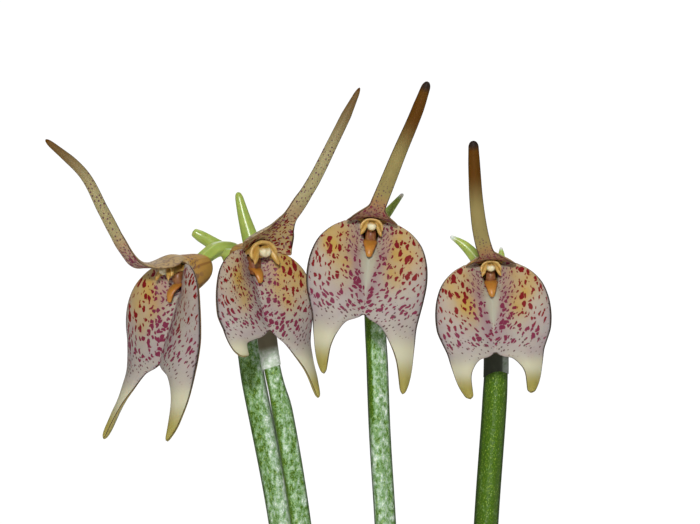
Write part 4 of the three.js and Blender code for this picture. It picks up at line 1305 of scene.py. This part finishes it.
class PotSettings(bpy.types.PropertyGroup):
    """Colours of the pot and of what fills it."""

    clay: colour_property("Clay", "Fired clay", "#b0623c")
    pale_clay: colour_property("Pale clay", "Lime bloom on the clay", "#c79478")
    bark: colour_property("Bark", "Fir bark chips", "#5b3d28")
    bark_light: colour_property("Light bark", "Cut faces of the chips", "#8d6644")
    grit: colour_property("Grit", "Pale mineral grains in the mix", "#c9c2b4")


def clay_material(settings):
    """Unglazed terracotta: matt, gritty, with turning lines and a pale lime bloom."""
    material, tree, place = new_material("Unglazed terracotta", 0.85)
    # Clouds of bloom 22 mm across, grit of 0.5 mm and lines 1 mm apart
    cloud = add(tree, "TexNoise", {"Vector": place, "Scale": 0.045 / MM, "Detail": 5})
    grit = add(tree, "TexNoise", {"Vector": place, "Scale": 2.2 / MM, "Detail": 3})
    turning = add(tree, "Mapping", {"Vector": place, "Scale": (0.02, 0.02, 1)})
    lines = add(tree, "TexNoise", {"Vector": turning, "Scale": 0.9 / MM, "Detail": 2})
    colour = layered(tree, settings.clay, (
        (cloud, 0.48, 0.75, 0.75, settings.pale_clay), (grit, 0.42, 0.3, 0.35, settings.bark)))
    height = add(tree, "Math", {0: lines, 1: grit}, operation="ADD")
    return coloured(material, colour, height, strength=0.35, depth=0.3)


def bark_material(settings):
    """Fir bark chips: matt and fibrous, dark outside with lighter corky cuts."""
    material, tree, place = new_material("Fir bark", 0.9)
    # Fibres 1 mm wide and 5 mm long over clouds of 8 mm
    fibre_place = add(tree, "Mapping", {"Vector": place, "Rotation": (0.4, 0.9, 0.3), "Scale": (1, 0.2, 1)})
    fibre = add(tree, "TexNoise", {"Vector": fibre_place, "Scale": 0.9 / MM, "Detail": 4})
    cloud = add(tree, "TexNoise", {"Vector": place, "Scale": 0.13 / MM, "Detail": 2})
    both = add(tree, "Math", {0: fibre, 1: cloud}, operation="MULTIPLY")
    colour = layered(tree, settings.bark, [(both, 0.15, 0.42, 1, settings.bark_light)])
    return coloured(material, colour, fibre, strength=0.7, depth=0.5)


def grit_material(settings):
    """Pumice and perlite grains: chalky, pale and pitted."""
    material, tree, place = new_material("Chalky pumice", 0.9)
    cloud = add(tree, "TexNoise", {"Vector": place, "Scale": 1.4 / MM, "Detail": 3})
    colour = layered(tree, settings.grit, [(cloud, settings.bark_light)])
    return coloured(material, colour, cloud, strength=0.6, depth=0.3)


def turned(profile, steps):
    """A body turned about Z from a profile of (radius, height) corners that ends on the axis."""
    bm = bmesh.new()
    verts = [bm.verts.new((radius, 0, height)) for radius, height in profile]
    edges = [bm.edges.new(pair) for pair in zip(verts, verts[1:])]
    bmesh.ops.spin(bm, geom=[*verts, *edges], cent=(0, 0, 0), axis=(0, 0, 1), angle=2 * math.pi,
                   steps=steps, use_merge=True)
    close_up(bm, 0.01)
    return bm


def chip(bm, size, place, seed, index):
    """A chip with broken corners: a cut cube, bevelled and knocked about, kept inside the pot."""
    before = set(bm.faces)
    verts = bmesh.ops.create_cube(bm, size=1)["verts"]
    edges = list({edge for vert in verts for edge in vert.link_edges})
    bmesh.ops.bevel(bm, geom=edges, offset=0.12, segments=1, affect="EDGES", profile=0.5, material=-1)
    made = [face for face in bm.faces if face not in before]
    corners = {vert for face in made for vert in face.verts}
    limit = inner_radius(SOIL_TOP) - 0.5
    for vert in corners:
        push = noise.noise_vector(vert.co * 1.7 + Vector((seed, 0, 0))) * 0.16
        vert.co = place @ Vector(((vert.co.x + push.x) * size[0], (vert.co.y + push.y) * size[1],
                                  (vert.co.z + push.z) * size[2]))
        radius = math.hypot(vert.co.x, vert.co.y)
        if radius > limit:
            vert.co.x *= limit / radius
            vert.co.y *= limit / radius
    for face in made:
        face.material_index = index


def tilted(tilt_x, tilt_y, turn, at):
    """Where a chip goes: tilted, turned and moved to its place."""
    return (Matrix.Translation(at) @ Matrix.Rotation(turn, 4, "Z") @ Matrix.Rotation(tilt_y, 4, "Y")
            @ Matrix.Rotation(tilt_x, 4, "X"))


def strewn(bm, k, luck):
    """One small chip, or a grain once the small chips are done."""
    radius = (inner_radius(SOIL_TOP) - 2) * math.sqrt(luck.random())
    angle = luck.uniform(0, 2 * math.pi)
    grit = k >= SMALL_CHIPS
    ranges = [(1.4, 2.6)] * 3 if grit else [(3, 7), (2.2, 5), (1.2, 2.6)]
    size = [luck.uniform(*span) for span in ranges]
    at = (radius * math.cos(angle), radius * math.sin(angle), luck.uniform(SOIL_TOP - 1.2, SOIL_TOP + 1.4))
    place = tilted(luck.uniform(-0.7, 0.7), luck.uniform(-0.7, 0.7), luck.uniform(0, math.pi), at)
    chip(bm, size, place, k + 50, int(grit))


class ORCHID_OT_potting_mix(bpy.types.Operator):
    """Make the bark chips and pale grit that fill the pot"""

    bl_idname = "orchid.potting_mix"
    bl_label = "Potting mix"

    def execute(self, context):
        settings = context.scene.orchid_pot
        # The bed under the chips, clear of the clay all round
        gap = 0.3
        bed, low = SOIL_TOP - 1.5, POT["floor"] + gap
        bm = turned([(0, low), (inner_radius(low) - gap, low), (inner_radius(bed) - gap, bed), (0, bed)],
                    steps=64)
        # Blender seeds this noise from the clock unless it is told otherwise
        noise.seed_set(CHIP_SEED)
        luck = draws(CHIP_SEED)
        for k in range(CHIPS["count"]):
            radius = (inner_radius(SOIL_TOP) - 2) * math.sqrt((k + 0.5) / CHIPS["count"])
            angle = k * math.radians(CHIPS["turn"])
            size = [length * (0.75 + 0.6 * next(luck)) for length in CHIPS["size"]]
            tilts = [CHIPS["tilt"] * (2 * next(luck) - 1) for _ in range(2)]
            turn = math.pi * next(luck)
            at = (radius * math.cos(angle), radius * math.sin(angle), SOIL_TOP - 1 + 1.6 * next(luck))
            chip(bm, size, tilted(*tilts, turn, at), k, 0)
        luck = random.Random(STREW_SEED)
        for k in range(SMALL_CHIPS + GRITS):
            strewn(bm, k, luck)
        bmesh.ops.recalc_face_normals(bm, faces=bm.faces)
        materials = [bark_material(settings), grit_material(settings)]
        piece = finished(bm, "potting_mix", "bark", materials)
        for face in piece.data.polygons:
            face.use_smooth = False
        return {"FINISHED"}


def drain_holes(context):
    """An object in the shape of the drainage holes, to cut them with."""
    bm = bmesh.new()
    for k in range(POT["drain_holes"]):
        angle = (k / POT["drain_holes"]) * 2 * math.pi + math.pi / 2
        at = Vector((math.cos(angle), math.sin(angle), 0)) * POT["drain_circle"]
        bmesh.ops.create_cone(bm, cap_ends=True, segments=48, radius1=POT["drain_radius"],
                              radius2=POT["drain_radius"], depth=4 * POT["floor"],
                              matrix=Matrix.Translation(at))
    bmesh.ops.transform(bm, matrix=Matrix.Scale(MM, 4), verts=bm.verts)
    mesh = bpy.data.meshes.new("Holes")
    bm.to_mesh(mesh)
    bm.free()
    holes = bpy.data.objects.new("Holes", mesh)
    context.scene.collection.objects.link(holes)
    return holes


class ORCHID_OT_pot(bpy.types.Operator):
    """Turn the clay pot and cut its drainage holes"""

    bl_idname = "orchid.pot"
    bl_label = "Pot"

    def execute(self, context):
        height, foot, rim = POT["height"], POT["foot_radius"], POT["rim_radius"]
        collar = height - POT["rim_height"]
        bm = turned([
            (0, 0), (foot - 1, 0), (foot, 1), (POT["shoulder_radius"], collar), (rim - 1.2, collar + 0.6),
            (rim - 0.6, collar + 2), (rim, height - 1.5), (rim - 1.4, height),
            (inner_radius(height) + 1.2, height), (inner_radius(height), height - 1.5),
            (inner_radius(POT["floor"]), POT["floor"]), (0, POT["floor"])], steps=128)
        holes = drain_holes(context)
        piece = finished(bm, "pot", "terracotta", [clay_material(context.scene.orchid_pot)])
        cut = piece.modifiers.new("Drainage", "BOOLEAN")
        cut.operation = "DIFFERENCE"
        cut.object = holes
        context.view_layer.update()
        drilled = bpy.data.meshes.new_from_object(piece.evaluated_get(context.evaluated_depsgraph_get()))
        piece.modifiers.clear()
        piece.data = drilled
        bpy.data.objects.remove(holes)
        edges = piece.modifiers.new("Rounded", "BEVEL")
        edges.width = 0.5 * MM
        edges.segments = 3
        edges.limit_method = "ANGLE"
        return {"FINISHED"}


# Stage

# The camera's place from side to side and its height, in millimetres
CAMERA_X = -4.2
CAMERA_Z = 205
FLOWERS_AT = (-0.004, -0.005, 0.2)
# Name, place and target in metres, width in metres and power in watts
LIGHTS = [
    ("Flash", (-0.03, -0.6, 0.35), FLOWERS_AT, 0.05, 2.8),
    ("Front fill", (0.03, -0.6, 0.2), FLOWERS_AT, 0.2, 0.08),
    ("Left fill", (-0.7, -0.4, 0.35), (0, 0, 0.15), 0.6, 0.5),
    ("Right fill", (0.8, -0.2, 0.45), (0, 0, 0.15), 0.6, 0.5),
    ("Top fill", (0, 0.1, 1.3), (0, 0.05, 0), 1, 4.5),
    ("Back fill", (0.1, 0.8, 0.6), (0, 0, 0.12), 0.7, 1.6),
]


class StageSettings(bpy.types.PropertyGroup):
    """The camera, its lights and the floor."""

    lens: FloatProperty(name="Lens", description="Focal length of the camera in millimetres",
                        default=135, min=20, max=300)
    distance: FloatProperty(name="Distance", description="From the camera to the plant's middle plane",
                            default=0.324, min=0.1, max=3, unit="LENGTH")
    floor: colour_property("Floor", "Colour of the floor", "#f6f6f4")
    floor_light: colour_property("Light floor", "Lighter clouds on the floor", "#f9f9f8")
    floor_radius: FloatProperty(name="Floor radius", description="Half width of the round floor",
                                default=0.9, min=0.2, max=5, unit="LENGTH")


def area_light(name, place, target, size, power):
    """A round soft light at place that looks at target."""
    data = bpy.data.lights.new(name, "AREA")
    data.shape = "DISK"
    data.size = size
    data.energy = power
    light = bpy.data.objects.new(name, data)
    light.location = place
    light.rotation_euler = (Vector(target) - Vector(place)).to_track_quat("-Z", "Y").to_euler()
    bpy.context.scene.collection.objects.link(light)


def surroundings():
    """A world that looks white but lights the plant only a little."""
    world = bpy.data.worlds.new("White surroundings")
    world.use_nodes = True
    tree = world.node_tree
    tree.nodes.clear()
    seen = add(tree, "LightPath", out="Is Camera Ray")
    strength = add(tree, "MapRange", {"Value": seen, "To Min": 0.14, "To Max": 1.05})
    background = add(tree, "Background", {"Color": (1, 1, 1, 1), "Strength": strength})
    add(tree, "OutputWorld", {"Surface": background}, out=None)
    return world


def floor_material(settings):
    """Matt painted board: white without gloss, with clouds too faint to draw the eye."""
    material, tree, place = new_material("Matt white board", 0.8)
    cloud = add(tree, "TexNoise", {"Vector": place, "Scale": 0.003 / MM})
    return coloured(material, layered(tree, settings.floor, [(cloud, settings.floor_light)]))


class ORCHID_OT_stage(bpy.types.Operator):
    """Place the camera, the lights, the white surroundings and the floor"""

    bl_idname = "orchid.stage"
    bl_label = "Stage"

    def execute(self, context):
        scene = context.scene
        settings = scene.orchid_stage
        data = bpy.data.cameras.new("Camera")
        data.lens = settings.lens
        data.clip_start = 0.01
        camera = bpy.data.objects.new("Camera", data)
        camera.location = (CAMERA_X * MM, -settings.distance, CAMERA_Z * MM)
        camera.rotation_euler = (math.pi / 2, 0, 0)
        scene.collection.objects.link(camera)
        scene.camera = camera
        for light in LIGHTS:
            area_light(*light)
        scene.world = surroundings()
        scene.view_settings.view_transform = "Standard"

        bm = bmesh.new()
        bmesh.ops.create_circle(bm, cap_ends=True, segments=96, radius=settings.floor_radius)
        mesh = bpy.data.meshes.new("Floor")
        bm.to_mesh(mesh)
        bm.free()
        mesh.materials.append(floor_material(settings))
        floor = bpy.data.objects.new("Floor", mesh)
        floor.location.z = -0.2 * MM
        scene.collection.objects.link(floor)
        return {"FINISHED"}


class ORCHID_PT_panel(bpy.types.Panel):
    """Lists the steps that build the plant"""

    bl_idname = "ORCHID_PT_panel"
    bl_label = "Orchid"
    bl_space_type = "VIEW_3D"
    bl_region_type = "UI"
    bl_category = "Orchid"

    def draw(self, context):
        for operator in OPERATORS:
            self.layout.operator(operator.bl_idname)
        for group in PROPERTIES:
            settings = getattr(context.scene, group)
            box = self.layout.box()
            for name in settings.__annotations__:
                box.prop(settings, name)


OPERATORS = [ORCHID_OT_stage, ORCHID_OT_pot, ORCHID_OT_potting_mix, ORCHID_OT_leaves, ORCHID_OT_stalks,
             ORCHID_OT_sepals, ORCHID_OT_columns, ORCHID_OT_lips]
PROPERTIES = {"orchid_stage": StageSettings, "orchid_pot": PotSettings, "orchid_leaves": LeafSettings,
              "orchid_stalks": StalkSettings, "orchid_sepals": SepalSettings,
              "orchid_columns": ColumnSettings}


def register():
    for group in PROPERTIES.values():
        bpy.utils.register_class(group)
    for cls in [*OPERATORS, ORCHID_PT_panel]:
        bpy.utils.register_class(cls)
    for name, group in PROPERTIES.items():
        setattr(bpy.types.Scene, name, PointerProperty(type=group))


def unregister():
    for name in PROPERTIES:
        delattr(bpy.types.Scene, name)
    for cls in [*OPERATORS, ORCHID_PT_panel, *PROPERTIES.values()]:
        bpy.utils.unregister_class(cls)


def main():
    register()
    for operator in OPERATORS:
        group, name = operator.bl_idname.split(".")
        getattr(getattr(bpy.ops, group), name)()


if __name__ == "__main__":
    main()
